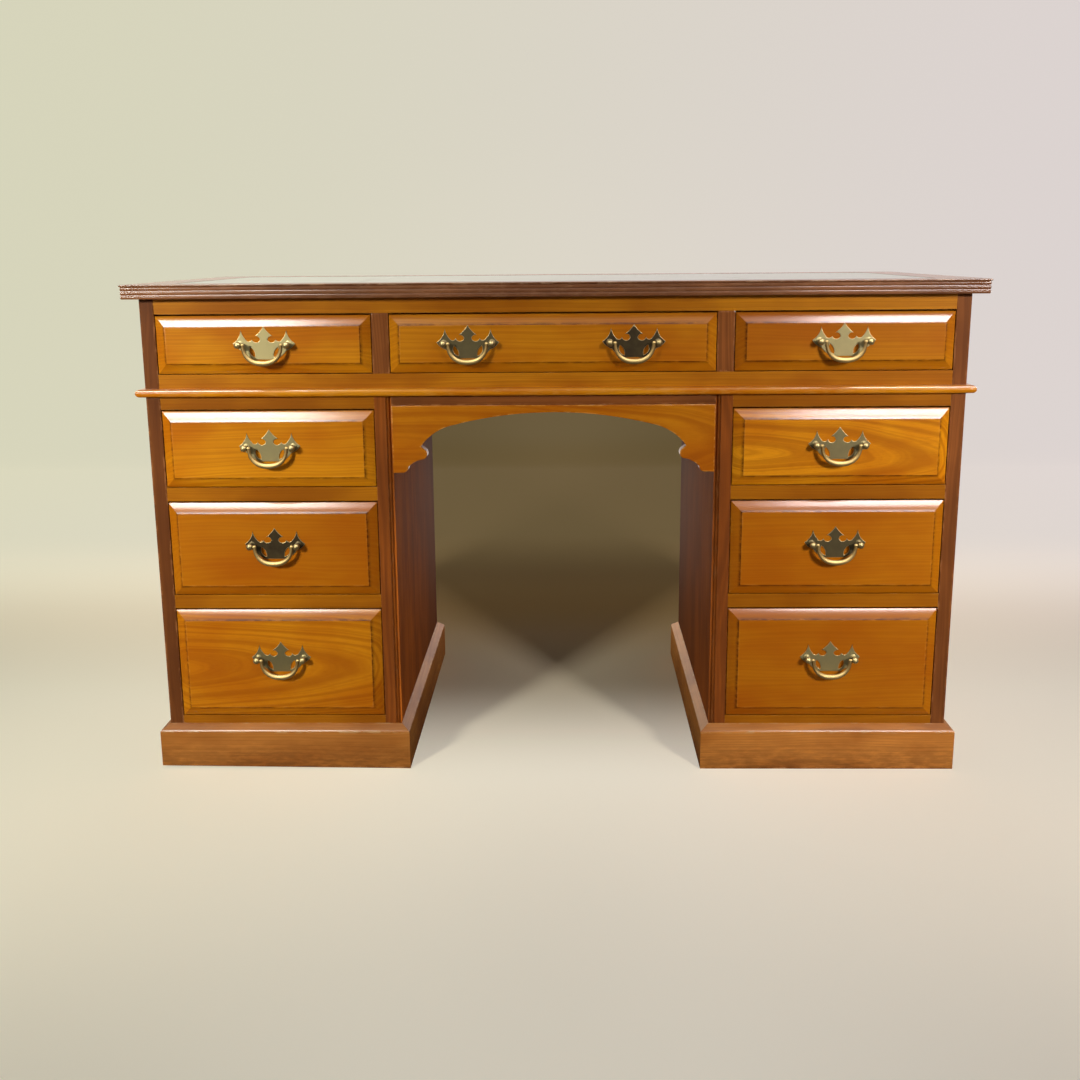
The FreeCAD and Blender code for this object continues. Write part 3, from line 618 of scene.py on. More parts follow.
def fretted(loops, front, back, ease, fade):
    """A sheet sawn to outlines in X and Z: the first loop is the edge, anticlockwise, and the others
    are holes, clockwise. The front arris of every loop is eased and the back's is sharp."""
    mid = ROUND_SHARE * ease
    levels = [(back, 0, 0), (front + ease + fade, 0, 0), (front + ease, 0, 1)]
    levels += [(front + mid, mid, 1), (front, ease, 1), (front, ease + fade, 0)]
    points = []
    quads = []
    wears = []
    starts = {0: [], len(levels) - 1: []}
    base = 0
    for loop in loops:
        rings = []
        for place, inward, worn_and_highlit in levels:
            ring = inset(loop, inward)
            rings.append(np.column_stack([ring[:, 0], np.full(len(ring), place), ring[:, 1]]))
            wears.append(np.full(len(ring), float(worn_and_highlit)))
        count = len(loop)
        index = base + np.arange(len(levels) * count).reshape(len(levels), count)
        after = np.roll(index, -1, 1)
        quads.append(np.stack([index[:-1], after[:-1], after[1:], index[1:]], -1).reshape(-1, 4))
        for level, found in starts.items():
            found.append(index[level])
        points.extend(rings)
        base += len(levels) * count
    points = np.concatenate(points)
    fills = []
    for level, indices in starts.items():
        flat = np.concatenate(indices)
        outlines = [[Vector((points[i][0], points[i][2], 0)) for i in found] for found in indices]
        wanted = 1 if level == 0 else -1
        for triangle in tessellate_polygon(outlines):
            ids = flat[list(triangle)]
            a, b, c = points[ids][:, [0, 2]]
            turned = np.cross(b - a, c - a)
            if abs(turned) > 1e-12:
                fills.append(ids if turned * wanted < 0 else ids[::-1])
    return Skin(points, np.concatenate(quads), fills, np.concatenate(wears))


low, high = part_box("apron")
half = (high.x - low.x) / 2
drop = high.z - low.z


def apron_edge():
    """The apron's outline, anticlockwise seen from the front, from its lower left corner."""
    run = []
    for shares in APRON_ARC_SHARES:
        start, through, end = [(-half * across, high.z - drop * down) for across, down in shares]
        run.append(arc_points(start, through, end, 8))
        if shares == APRON_ARC_SHARES[-2]:
            run.append([end])
    left = np.concatenate([[(-half, high.z), (-half, low.z)], *run])
    opposite = (-end[0], end[1])
    crown = arc_points(end, (0, high.z - drop * APRON_CROWN_SHARE), opposite, 32)
    return np.concatenate([left, crown, [opposite], left[::-1] * (-1, 1)])


apron_skin = fretted([apron_edge()], low.y, high.y, APRON_EASE, APRON_FADE)
apron_skin.sawn(X, Z, Y + FLAME_SLOPE * X, pith_of("flame"), APRON_LOG_SHIFT)
apron_skin.tone[:] = APRON_DARKER
piece("apron", "board", [apron_skin], flamed, sharp=50)

# Frieze: two end boards, and dark muntins between the drawers with partitions behind them. Rails,
# back and runners are dressed above.
DRAWER_GAP = 0.001
DRAWER_TOP_GAP = 0.0022

low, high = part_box("frieze_ends")
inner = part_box("frieze_back")[1].x
end_boards = []
for side, hand in PAIR.items():
    xs = sorted((hand * inner, hand * high.x))
    end_boards.append(board((xs[0], low.y, low.z), (xs[1], high.y, high.z), "z"))
    end_boards[-1].tone[:] = DARKER[side]
piece("frieze_ends", "boards", end_boards, dark_wood)

low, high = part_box("frieze_dividers")
drawer_low, drawer_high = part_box("centre_drawer_front")
rail_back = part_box("frieze_runners")[0].y
zs = (drawer_low.z - DRAWER_GAP, drawer_high.z + DRAWER_TOP_GAP)
dividers = []
for hand in PAIR.values():
    xs = sorted((hand * (drawer_high.x + DRAWER_GAP), hand * high.x))
    dividers.append(board((xs[0], low.y, zs[0]), (xs[1], rail_back, zs[1]), "z"))
    dividers.append(board((xs[0], rail_back, low.z), (xs[1], high.y, high.z), "y"))
piece("frieze_dividers", "boards", dividers, dark_wood)

# Bead moulding: a golden half-round planted round the foot of the frieze on the front and both ends,
# mitred at the front corners.
low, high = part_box("bead_moulding")
ends_low, ends_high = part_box("frieze_ends")
nose = (high.z - low.z) / 2
flat = high.x - ends_high.x - nose
MOULDING_EASE = 0.0001
MOULDING_WEAR_AND_HIGHLIGHT = 0.45


def half_round():
    """Section of the moulding: a flat run, then a half circle of half the moulding's height."""
    turn = np.radians(np.linspace(-90, 90, 13))
    round_part = np.column_stack([flat + nose * np.cos(turn), low.z + nose + nose * np.sin(turn)])
    return np.concatenate([[(0, low.z)], round_part, [(0, high.z)]])


plan_corners = ((ends_low.x, ends_low.y), (ends_high.x, ends_high.y))
bead_sides = ("front", "right", "left")
bead_skins = moulding(half_round(), *plan_corners, bead_sides, MOULDING_EASE, MOULDING_EASE)
# The whole moulding is rubbed paler, partly as wear and partly as a painted highlight along its round.
for skin in bead_skins:
    skin.wear_and_highlight[:] = MOULDING_WEAR_AND_HIGHLIGHT
piece("bead_moulding", "lengths", bead_skins, golden, sharp=40)

# Drawer fronts: thick golden boards, fibres across the desk. Four bevels rise to a field that stands
# a small step above them. The boxes' dovetails are let into the ends from behind.
BEVEL = 0.016
FIELD_STEP = 0.001
FIELD_PROUD = 0.011
DRAWERS = ["centre_drawer"] + [f"{side}_drawer_{number}" for side in PAIR for number in (1, 2, 3, 4)]
FLAMED = ("left_drawer_4", "right_drawer_2")
# Each front's tone is partly the board's own and partly painted shade, darker where less lamp light reaches
# it.
BOARD_TONES_AND_SHADE = {
    "centre_drawer": 0.34,
    "left_drawer_1": 0.16,
    "left_drawer_2": 0.24,
    "left_drawer_3": 0.66,
    "left_drawer_4": 0.36,
    "right_drawer_1": 0.46,
    "right_drawer_2": 0.0,
    "right_drawer_3": 0.58,
    "right_drawer_4": 0.6,
}


def drawer_front(low, high):
    """Rings of a rectangle: round the block's edge, up the bevels, over the step and onto the field.
    Each ring is an inset from the edge, a place in depth, a wear and a grime value. The grime value is
    painted shade on the edges just behind the face, in the gaps round the drawer, and at the foot of
    the step up to the field."""
    field = low.y
    face = low.y + FIELD_PROUD
    foot = field + FIELD_STEP
    rings = (
        (0.0030, high.y, 0, 0),
        (0.0004, high.y, 0.5, 0),
        (0.0001, high.y - 0.0004, 0.5, 0),
        (0.0001, face + 0.0030, 0, 0.6),
        (0.0001, face + 0.0007, 0.1, 0.8),
        (0.0003, face + 0.0002, 0.2, 0.4),
        (0.0009, face - 0.0003, 0.2, 0),
        (0.0030, face - 0.0020, 0, 0),
        (BEVEL - 0.0045, face - 0.0071, 0, 0),
        (BEVEL - 0.0022, foot + 0.0015, 0, 0.45),
        (BEVEL - 0.0002, foot, 0, 0.9),
        (BEVEL, foot - 0.0001, 0, 1),
        (BEVEL, field + 0.0004, 0, 0.9),
        (BEVEL + 0.0002, field + 0.0001, 0.35, 0.3),
        (BEVEL + 0.0006, field, 0.35, 0),
        (BEVEL + 0.0026, field, 0, 0),
    )
    made = []
    for inward, place, _, _ in rings:
        x0, x1 = low.x + inward, high.x - inward
        z0, z1 = low.z + inward, high.z - inward
        made.append([(x0, place, z0), (x1, place, z0), (x1, place, z1), (x0, place, z1)])
    wear_and_highlight = np.array([[ring[2]] for ring in rings], float)
    grime_and_shade = np.array([[ring[3]] for ring in rings], float)
    return loft(np.array(made), wear_and_highlight, grime_and_shade)


for name in DRAWERS:
    low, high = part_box(name + "_front")
    skin = drawer_front(low, high)
    depth_way = Y + FLAME_SLOPE * X * (name in FLAMED)
    pith = pith_of("flame" if name in FLAMED else "straight")
    skin.sawn(X, Z, depth_way, pith, logs.uniform(0, LOG_LENGTH))
    skin.tone[:] = BOARD_TONES_AND_SHADE[name]
    piece(name + "_front", "board", [skin], flamed if name in FLAMED else golden, sharp=20)

# Drawer boxes: thin oak sides dovetailed into the front, a back and a bottom in grooves, left bare.
lining = wood(
    "drawer_lining",
    pale=(196, 158, 104),
    deep=(172, 130, 78),
    streaky=(150, 108, 62),
    worn_and_highlit=(206, 174, 126),
    grimy_and_shaded=(80, 58, 36),
    on_node=True,
    turn=(0, 0, math.pi / 2),
    polish=0.0,
    figure=0.6,
)
for name in DRAWERS:
    dress(name + "_box", lining)

# Handles, fixed part: a backplate sawn and pierced from sheet brass and two turned posts whose
# threaded shanks pass through the drawer front to square nuts inside. Half of the plate's edge is
# arcs through three points: shares of the half width and of the crown or, below the posts, the drop.
PLATE_WIDTH = 0.095
PLATE_CROWN = 0.027
PLATE_DROP = 0.0225
PLATE_THICK = 0.0012
POST_SPACING = 0.073
BALL = 0.0105
POLE_TURN = 0.02
EYE_MIDDLE = 0.00002
STANDOFF = 0.0155
NECK = 0.0056
FLANGE = 0.011
FLANGE_THICK = 0.0016
SHANK = 0.005
SHANK_CHAMFER = 0.0006
SHANK_TAPER = 0.0001
SHANK_HOLE = 0.0051
SHANK_END = 0.002
NUT = 0.01
NUT_THICK = 0.004
NUT_EASE = 0.0004
PIN = 0.003
PIN_LENGTH = 0.0036
PIN_ROOM = 0.00005
PIN_END_ROOM = 0.0004
PLATE_EASE = 0.0003
PLATE_FADE = 0.0005
FRONT_THICK = 0.018
POST_WEAR = 0.3
BALL_WEAR = 0.7
PLATE_ARC_SHARES = (
    ((0.0, 1.0), (0.128, 0.705), (0.29, 0.463)),
    ((0.29, 0.463), (0.165, 0.415), (0.118, 0.278)),
    ((0.118, 0.278), (0.247, 0.111), (0.381, 0.278)),
    ((0.381, 0.278), (0.48, 0.17), (0.577, 0.267)),
    ((0.577, 0.267), (0.672, 0.51), (0.73, 0.8)),
    ((0.73, 0.8), (0.82, 0.36), (1.0, 0.06)),
    ((1.0, 0.06), (0.88, -0.22), (0.7, -0.42)),
    ((0.7, -0.42), (0.56, -0.74), (0.35, -1.0)),
)
PIERCING_SHARES = ((0.443, -0.169), (0.454, -0.578), (0.299, -0.844), (0.32, -0.467))


def brass(name, bright, dull, dark, rub, rough):
    """Old brass: dull and brown in the flats, bright where hands and cloths rub it. Each handle has a
    tone of its own, from dull to dark."""
    finish = Finish(bpy.data.materials.new(name))
    bright, dull, dark = (paint(*shade) for shade in (bright, dull, dark))
    spot = finish.node("TexCoord").output("Object")
    wear_and_highlight = finish.attribute("wear_and_highlight")
    grime_and_shade = finish.attribute("grime_and_shade")
    patina = finish.attribute("tone")
    cloud = finish.noise(spot, (70, 70, 70), 3, 0.5)
    speck = finish.noise(spot, (1400, 1400, 1400), 3)
    colour = finish.mix(patina + (cloud - 0.5) * 0.25, dull, dark)
    colour = finish.mix((wear_and_highlight + rub).rise(0.1, 1.2) * speck.rise(0.2, 0.5), colour, bright)
    colour = finish.mix(grime_and_shade * 0.8, colour, dark)
    bump_values = {"Strength": 0.12, "Distance": 0.0003, "Height": cloud + speck * 0.3}
    return finish.end(
        {
            "Base Color": colour,
            "Metallic": 0.85 - cloud * 0.2,
            "Roughness": rough + cloud * 0.12 - wear_and_highlight * 0.06,
            "Normal": finish.node("Bump", values=bump_values),
        }
    )


plate_brass = brass("plate_brass", (180, 162, 112), (142, 132, 92), (44, 32, 12), 0.0, 0.42)
bail_brass = brass("bail_brass", (172, 150, 98), (112, 86, 42), (84, 60, 24), 0.12, 0.52)


def turned(profile, centre, axis, count=24):
    """A turned part: each place along the axis and radius there swept round it in a circle."""
    profile = np.asarray(profile, float)
    turn = np.linspace(0, 2 * math.pi, count, endpoint=False)
    first = Z if abs(axis[2]) < 0.5 else X
    second = np.cross(axis, first)
    circle = np.outer(np.cos(turn), first) + np.outer(np.sin(turn), second)
    rings = centre + profile[:, 0, None, None] * axis + profile[:, 1, None, None] * circle[None]
    return loft(rings, 0.0)


def ball_profile(radius, eye_radius, eye_depth):
    """A ball with a round eye sunk in one side: from near the pole away from the eye round to the
    eye's rim, down its wall and nearly to the middle of its floor."""
    rim = math.asin(eye_radius / radius)
    turn = np.linspace(math.pi - POLE_TURN, rim, 18)
    arc = np.column_stack([radius * np.cos(turn), radius * np.sin(turn)])
    mouth = radius * math.cos(rim)
    return np.concatenate([arc, [(mouth - eye_depth, eye_radius), (mouth - eye_depth, EYE_MIDDLE)]])


def plate_loops(x, z):
    """The backplate's edge and its holes about the middle of the posts."""
    half = PLATE_WIDTH / 2

    def spot(point, hand):
        return x + hand * half * point[0], z + (PLATE_CROWN if point[1] > 0 else PLATE_DROP) * point[1]

    left = [arc_points(*[spot(p, -1) for p in points], 9) for points in PLATE_ARC_SHARES]
    edge = np.concatenate(left + [[spot(PLATE_ARC_SHARES[-1][-1], -1)]])
    mirrored = edge[::-1] * (-1, 1) + (2 * x, 0)
    loops = [np.concatenate([edge, mirrored[:-1]])]
    for hand in (-1, 1):
        top, outer, bottom, inner = (spot(p, hand) for p in PIERCING_SHARES)
        leaf = np.concatenate([arc_points(top, outer, bottom, 8), arc_points(bottom, inner, top, 8)])
        loops.append(leaf if hand > 0 else leaf[::-1])
        turn = np.linspace(0, -2 * math.pi, 20, endpoint=False)
        middle = np.array([x + hand * POST_SPACING / 2, z])
        loops.append(middle + SHANK_HOLE / 2 * np.column_stack([np.cos(turn), np.sin(turn)]))
    return loops


def post_profile():
    """A post as places ahead of the field and radii there: shank, flange, then neck up into the ball."""
    end = -(FRONT_THICK + FIELD_PROUD + NUT_THICK + SHANK_END)
    shank, flange, neck = SHANK / 2, FLANGE / 2, NECK / 2
    return [
        (end, shank - SHANK_CHAMFER),
        (end + SHANK_CHAMFER, shank),
        (-SHANK_TAPER, shank),
        (PLATE_THICK, shank * 1.01),
        (PLATE_THICK, flange),
        (PLATE_THICK + FLANGE_THICK * 0.6, flange),
        (PLATE_THICK + FLANGE_THICK, flange * 0.84),
        (PLATE_THICK + FLANGE_THICK * 1.2, neck * 1.12),
        (PLATE_THICK + STANDOFF * 0.4, neck),
        (PLATE_THICK + STANDOFF * 0.6, neck),
        (PLATE_THICK + STANDOFF * 0.75, neck),
        (PLATE_THICK + STANDOFF * 0.8, neck / 2),
    ]


def handle_skins(x, field, z, patina):
    """Backplate, posts and nuts of the handle whose posts' middle is at x and z on a field."""
    skins = [fretted(plate_loops(x, z), field - PLATE_THICK, field, PLATE_EASE, PLATE_FADE)]
    ball_shape = ball_profile(BALL / 2, PIN / 2 + PIN_ROOM, PIN_LENGTH + PIN_END_ROOM)
    inside = field + FRONT_THICK + FIELD_PROUD
    for hand in (-1, 1):
        post_x = x + hand * POST_SPACING / 2
        post = turned(post_profile(), np.array([post_x, field, z]), -Y)
        post.wear_and_highlight[:] = POST_WEAR
        ball_place = np.array([post_x, field - PLATE_THICK - STANDOFF, z])
        ball = turned(ball_shape, ball_place, -hand * X, count=28)
        ball.wear_and_highlight[:] = BALL_WEAR
        nut_low = (post_x - NUT / 2, inside, z - NUT / 2)
        nut_high = (post_x + NUT / 2, inside + NUT_THICK, z + NUT / 2)
        nut = board(nut_low, nut_high, "y", ease=NUT_EASE)
        skins += [post, ball, nut]
    for skin in skins:
        skin.tone[:] = patina
    return skins


# The handles stand this far above their fronts' middles, row by row from the top. The centre drawer's
# stand unevenly, and the others a little nearer the kneehole than their fronts' middles.
HANDLE_RISE = {"1": 0.0009, "2": 0.0049, "3": 0.009, "4": 0.0114}
CENTRE_PLACES = {"left": -0.128, "right": 0.1226}
SIDE_INSET = 0.003
PATINA = {
    "centre_drawer_left": 0.75,
    "centre_drawer_right": 0.95,
    "left_drawer_1": 0.0,
    "right_drawer_1": 0.1,
    "left_drawer_2": 0.3,
    "right_drawer_2": 0.5,
    "left_drawer_3": 0.95,
    "right_drawer_3": 0.8,
    "left_drawer_4": 0.45,
    "right_drawer_4": 0.1,
}


def handle_places(name):
    """Name, X and Z of each handle of a drawer, and the Y of its field."""
    low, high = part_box(name + "_front")
    row = "1" if name == "centre_drawer" else name[-1]
    z = (low.z + high.z) / 2 + HANDLE_RISE[row]
    if name == "centre_drawer":
        return [(f"{name}_{side}", CENTRE_PLACES[side], z, low.y) for side in PAIR]
    middle = (low.x + high.x) / 2
    return [(name, middle - math.copysign(SIDE_INSET, middle), z, low.y)]


for name in DRAWERS:
    skins = []
    for handle, x, z, field in handle_places(name):
        skins += handle_skins(x, field, z, PATINA[handle])
    piece(name + "_plate", "brass", skins, plate_brass, sharp=40)

# Bails: cast brass drop handles that swing on pins in the balls. The rod hangs as a squarish half
# ellipse from two eyes, which stand at a share of half the post spacing, and swells to a thick grip.
EYE_SHARE = 0.79
BAIL_DROP = 0.0275
BAIL_ROD = 0.0052
BAIL_GRIP = 0.008
BAIL_SQUARENESS = 0.88
KNUCKLE = 0.0056
COLLAR_ROOM = 0.0004
COLLAR_EASE = 0.0003
PIN_EASE = 0.0002
ROD_SIDES = 20
ROD_WEAR = 0.35
END_WEAR = 0.8


def tube(line, radii, count=ROD_SIDES):
    """A rod along a line in the XZ plane: a circle of each radius, square to the line there."""
    ahead = np.gradient(line, axis=0)
    ahead /= np.linalg.norm(ahead, axis=1, keepdims=True)
    side = np.cross(ahead, Y)
    turn = np.linspace(0, 2 * math.pi, count, endpoint=False)
    rings = line[:, None] + radii[:, None, None] * (
        np.cos(turn)[None, :, None] * side[:, None] + np.sin(turn)[None, :, None] * Y
    )
    return loft(rings, 0.0)


def bail_skins(x, field, z):
    """The rod and, at each end, a knuckle, a collar and a pin. The rod's line is x = a (cos t)^n and
    z = -drop (sin t)^n for t from half a turn to 0, and its radius grows by (sin t)^2 to the grip's."""
    half = POST_SPACING / 2
    eye = half * EYE_SHARE
    pivot = np.array([x, field - PLATE_THICK - STANDOFF, z])
    turn = np.linspace(math.pi, 0, 57)
    across = eye * np.sign(np.cos(turn)) * np.abs(np.cos(turn)) ** BAIL_SQUARENESS
    down = -BAIL_DROP * np.abs(np.sin(turn)) ** BAIL_SQUARENESS
    line = np.column_stack([across, np.zeros(len(turn)), down])
    swell = np.sin(turn) ** 2
    rod = tube(line + pivot, BAIL_ROD / 2 + swell * (BAIL_GRIP - BAIL_ROD) / 2)
    rod.wear_and_highlight = np.repeat(ROD_WEAR + (1 - ROD_WEAR) * swell, ROD_SIDES)
    skins = [rod]
    ball_face = half - BALL / 2
    knuckle = KNUCKLE / 2
    turn = np.linspace(math.pi - POLE_TURN, math.asin(BAIL_ROD / 2 / knuckle), 10)
    profile = [(knuckle * math.cos(angle), knuckle * math.sin(angle)) for angle in turn]
    collar = ball_face - COLLAR_ROOM - eye
    tip = ball_face + PIN_LENGTH - eye
    profile += [(collar - COLLAR_EASE, BAIL_ROD / 2), (collar, BAIL_ROD / 2 - COLLAR_EASE), (collar, PIN / 2)]
    profile += [(tip - PIN_EASE, PIN / 2), (tip, PIN / 2 - PIN_EASE)]
    for hand in (-1, 1):
        end = turned(profile, pivot + (hand * eye, 0, 0), hand * X)
        end.wear_and_highlight[:] = END_WEAR
        skins.append(end)
    return skins


for name in DRAWERS:
    for handle, x, z, field in handle_places(name):
        piece(handle + "_bail", "brass", bail_skins(x, field, z), bail_brass, sharp=40)

# Top: four mitred border boards round the ground board. Their edge carries three fine reeds under a
# thin rounded lip.
BORDER = 0.066
LIP = 0.003
LIP_EDGE = 0.004
LIP_WEAR = 0.6
LIP_WEAR_REACH = 0.002
REED_SETBACK = 0.0025
REED_SWELL = 0.001
REED_WEAR = 0.15
REED_TOPS = 0.0022
REED_HOLLOW_DARKENING = 0.5
REED_HOLLOWS = (0.0023, 0.003)
TOP_EASE = 0.00008


def top_profile(low, high):
    """Section of a border board: outwards from the top's edge, and up."""
    lip_low = high - LIP
    reed = (lip_low - low) / 3
    rise = np.linspace(0, 1, 7)
    points = [(-BORDER, low)]
    for number in range(3):
        swell = REED_SWELL * 4 * rise * (1 - rise)
        points += np.column_stack([-REED_SETBACK + swell, low + reed * (number + rise)])[:-1].tolist()
    points += [(-REED_SETBACK, lip_low)]
    turn = np.radians(np.linspace(-90, 90, 9))
    half = LIP / 2
    points += np.column_stack([-half + half * np.cos(turn), high - half + half * np.sin(turn)]).tolist()
    points += [(-half - LIP_EDGE, high), (-BORDER, high)]
    return points


low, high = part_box("top_frame")
profile = top_profile(low.z, high.z)
top_skins = moulding(profile, (low.x, low.y), (high.x, high.y), ALL_ROUND, TOP_EASE, TOP_EASE)
for skin in top_skins:
    x, y, z = skin.points.T
    edge_in = np.minimum.reduce([x - low.x, high.x - x, y - low.y, high.y - y])
    on_lip = (z > high.z - LIP - ARRIS) & (edge_in < LIP_WEAR_REACH)
    skin.wear_and_highlight = np.where(on_lip, LIP_WEAR, np.where(edge_in < REED_TOPS, REED_WEAR, 0.0))
    # Darker in the hollows between the reeds.
    in_hollow = (edge_in > REED_HOLLOWS[0]) & (edge_in < REED_HOLLOWS[1])
    skin.grime_and_shade = np.where(in_hollow, REED_HOLLOW_DARKENING, 0.0)
top_wood = wood(
    "top_wood",
    pale=(146, 95, 60),
    deep=(115, 72, 46),
    streaky=(84, 50, 34),
    worn_and_highlit=(196, 160, 126),
    grimy_and_shaded=(52, 30, 20),
    polish=0.45,
    figure=0.3,
    fibres=0.25,
)
piece("top_frame", "boards", top_skins, top_wood, sharp=50)

# Leather: three skivers glued into the recess, butted at two joints, worn and faded green with a blind
# tooled double line round each. A rounded edge falls by so much at so much in, and a tooled line
# runs between two distances in from its skiver's edge.
JOINT = 0.3
JOINT_GAP = 0.00015
EDGE_ROUND = ((0.0004, 0), (0.0001, 0.0002), (0, 0.0006))
TOOLED_LINES = ((0.0122, 0.0137), (0.0172, 0.0180))
LINE_FADE = 0.0002


def hide():
    """Dyed hide: fine pebbled grain, paler where it is rubbed, darker in the tooled lines."""
    finish = Finish(bpy.data.materials.new("leather"))
    spot = finish.node("TexCoord").output("Object")
    pebble_values = {"Vector": spot, "Scale": 900, "Smoothness": 0.6}
    pebble = finish.node("TexVoronoi", {"feature": "SMOOTH_F1"}, pebble_values)
    cloud = finish.noise(spot, (6, 6, 6), 5, 0.6)
    scuff = finish.noise(spot, (28, 60, 28), 5, 0.7)
    line = finish.attribute("grime_and_shade")
    tone = finish.mix(cloud.rise(0.35, 0.7), paint(58, 74, 50), paint(78, 90, 62))
    tone = finish.mix(scuff.rise(0.56, 0.78) * 0.5, tone, paint(132, 126, 92))
    tone = finish.mix(line, tone, paint(34, 40, 28))
    height = pebble * 0.6 + scuff * 0.2 - line * 1.5
    return finish.end(
        {
            "Base Color": tone,
            "Roughness": 0.38 + cloud * 0.15,
            "Normal": finish.node("Bump", values={"Strength": 0.25, "Distance": 0.0004, "Height": height}),
            "Coat Weight": 0.5 - scuff * 0.3,
            "Coat Roughness": 0.2,
        }
    )


low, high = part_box("top_leather")
levels = [(low.z, 0, 0)] + [(high.z - fall, inward, 0) for fall, inward in EDGE_ROUND]
for start, end in TOOLED_LINES:
    levels += [(high.z, start - LINE_FADE, 0), (high.z, start, 1)]
    levels += [(high.z, end, 1), (high.z, end + LINE_FADE, 0)]
tooled = np.array([[level[2]] for level in levels], float)
leather_skins = []
for x0, x1 in ((low.x, -JOINT), (-JOINT, JOINT), (JOINT, high.x)):
    x0, x1 = x0 + JOINT_GAP * (x0 > low.x), x1 - JOINT_GAP * (x1 < high.x)
    rings = []
    for place, inward, _ in levels:
        left, right = x0 + inward, x1 - inward
        front, back = low.y + inward, high.y - inward
        rings.append([(left, front, place), (right, front, place), (right, back, place), (left, back, place)])
    leather_skins.append(loft(np.array(rings), 0.0, tooled))
piece("top_leather", "hide", leather_skins, hide())

# Studio: a pale floor that sweeps up behind the desk, with a painted shadow of the desk on it behind
# the kneehole, two soft lamps out in front, each on its own side, two panels overhead that show in the
# polish alone, a fill from behind and a dim room.
FLOOR_FRONT = -9.0
WALL_BACK = 3.2
WALL_TOP = 6.0
BEND_RADIUS = 0.6
SWEEP_WIDTH = 24.0


def sweep_mesh():
    """A floor strip that turns up through a quarter circle into a wall."""
    turn = np.radians(np.linspace(-90, 0, 24))
    bend = BEND_RADIUS * np.column_stack([np.cos(turn) - 1, np.sin(turn) + 1]) + (WALL_BACK, 0)
    path = np.concatenate([[(FLOOR_FRONT, 0.0)], bend, [(WALL_BACK, WALL_TOP)]])
    xs = np.array([-SWEEP_WIDTH, SWEEP_WIDTH]) / 2
    points = np.array([[(x, y, z) for y, z in path] for x in xs]).reshape(-1, 3)
    count = len(path)
    faces = [(i, i + count, i + count + 1, i + 1) for i in range(count - 1)]
    mesh = bpy.data.meshes.new("sweep")
    mesh.from_pydata(points, [], faces)
    mesh.shade_smooth()
    return mesh


def sweep_finish():
    """Matt paper that casts no shadow and that the camera sees through from behind. The camera sees a
    glow on it in front of the desk, beside it and above it, with the lamps' tints painted in, warm on
    the left and pinkish on the right, and made weaker near the desk as painted shade. Behind the
    kneehole the glow and the paper's own colour are dim brown, a painted shadow of the desk. Above the
    floor its own colour is dark. The polish sees the part behind the desk as pale as the room is, and
    the part in front as dark as the unlit room."""
    finish = Finish(bpy.data.materials.new("pale_paper"))
    spot = finish.node("TexCoord").output("Object")
    parts = finish.node("SeparateXYZ", values={"Vector": spot})
    x, y, z = (parts.output(name) for name in "XYZ")
    sideways = x.math("ABSOLUTE", x)
    beside = (sideways - y * 0.13).rise(0.3, 0.6)
    before = y.rise(0.15, -0.35)
    above = z.rise(0.3, 0.65)
    far = y.rise(0.6, 1.6)
    # Painted shade: the glow fades near the desk.
    near = y.rise(1.2, 0.1) * (sideways.rise(0.1, 0.7) * 0.16 + 0.3)
    rays = finish.node("LightPath")
    polish = rays.output("Is Glossy Ray")
    eye = rays.output("Is Camera Ray")
    # Painted shadow: behind the desk the camera sees only a dim brown glow.
    glow = finish.mix(eye * y.rise(0.9, 1.5), (0, 0, 0, 1), (0.09, 0.063, 0.024, 1))
    # Painted light: the glow's tint goes from the left lamp's warm to the right lamp's pink.
    lamp_tinted_glow = finish.mix(x.rise(-2.5, 2.5), (0.66, 0.65, 0.49, 1), (0.70, 0.64, 0.63, 1))
    glow = finish.mix(eye * before.larger(beside.larger(above)) * (1 - near), glow, lamp_tinted_glow)
    mirrored = finish.mix(x.rise(-1.2, 0.6), (1.75, 1.65, 1.4, 1), (1.55, 1.4, 1.35, 1))
    glow = finish.mix(polish * far, glow, mirrored)
    # Painted shadow: the paper's own colour turns brown and then dark behind the desk.
    shade = finish.mix(y.rise(0.0, 0.7), paint(220, 213, 190), paint(194, 164, 114))
    shade = finish.mix(y.rise(0.8, 1.5), shade, paint(84, 70, 46))
    dark = (polish * (1 - far)).larger(z.rise(0.0, 0.1))
    shade = finish.mix(dark, shade, (0.1, 0.08, 0.05, 1))
    shader = finish.node(
        "BsdfPrincipled",
        values={
            "Base Color": shade,
            "Roughness": 0.9,
            "Specular IOR Level": 0.1,
            "Emission Color": glow,
            "Emission Strength": 1.0,
        },
    )
    clear = finish.node("BsdfTransparent")
    back = finish.node("NewGeometry").output("Backfacing")
    unseen = back.larger(rays.output("Is Shadow Ray"))
    return finish.out(finish.node("MixShader", values={0: unseen, 1: shader, 2: clear}))


sweep = bpy.data.objects.new("sweep", sweep_mesh())
sweep.data.materials.append(sweep_finish())
bpy.context.scene.collection.objects.link(sweep)


def lamp(name, place, target, size, watts, tint):
    """A soft rectangular lamp that looks at a target and doesn't show itself."""
    data = bpy.data.lights.new(name, "AREA")
    data.shape = "RECTANGLE"
    data.size, data.size_y = size
    data.energy = watts
    data.color = tint
    made = bpy.data.objects.new(name, data)
    made.location = place
    made.rotation_euler = (Vector(target) - Vector(place)).to_track_quat("-Z", "Y").to_euler()
    made.visible_camera = False
    bpy.context.scene.collection.objects.link(made)
    return made


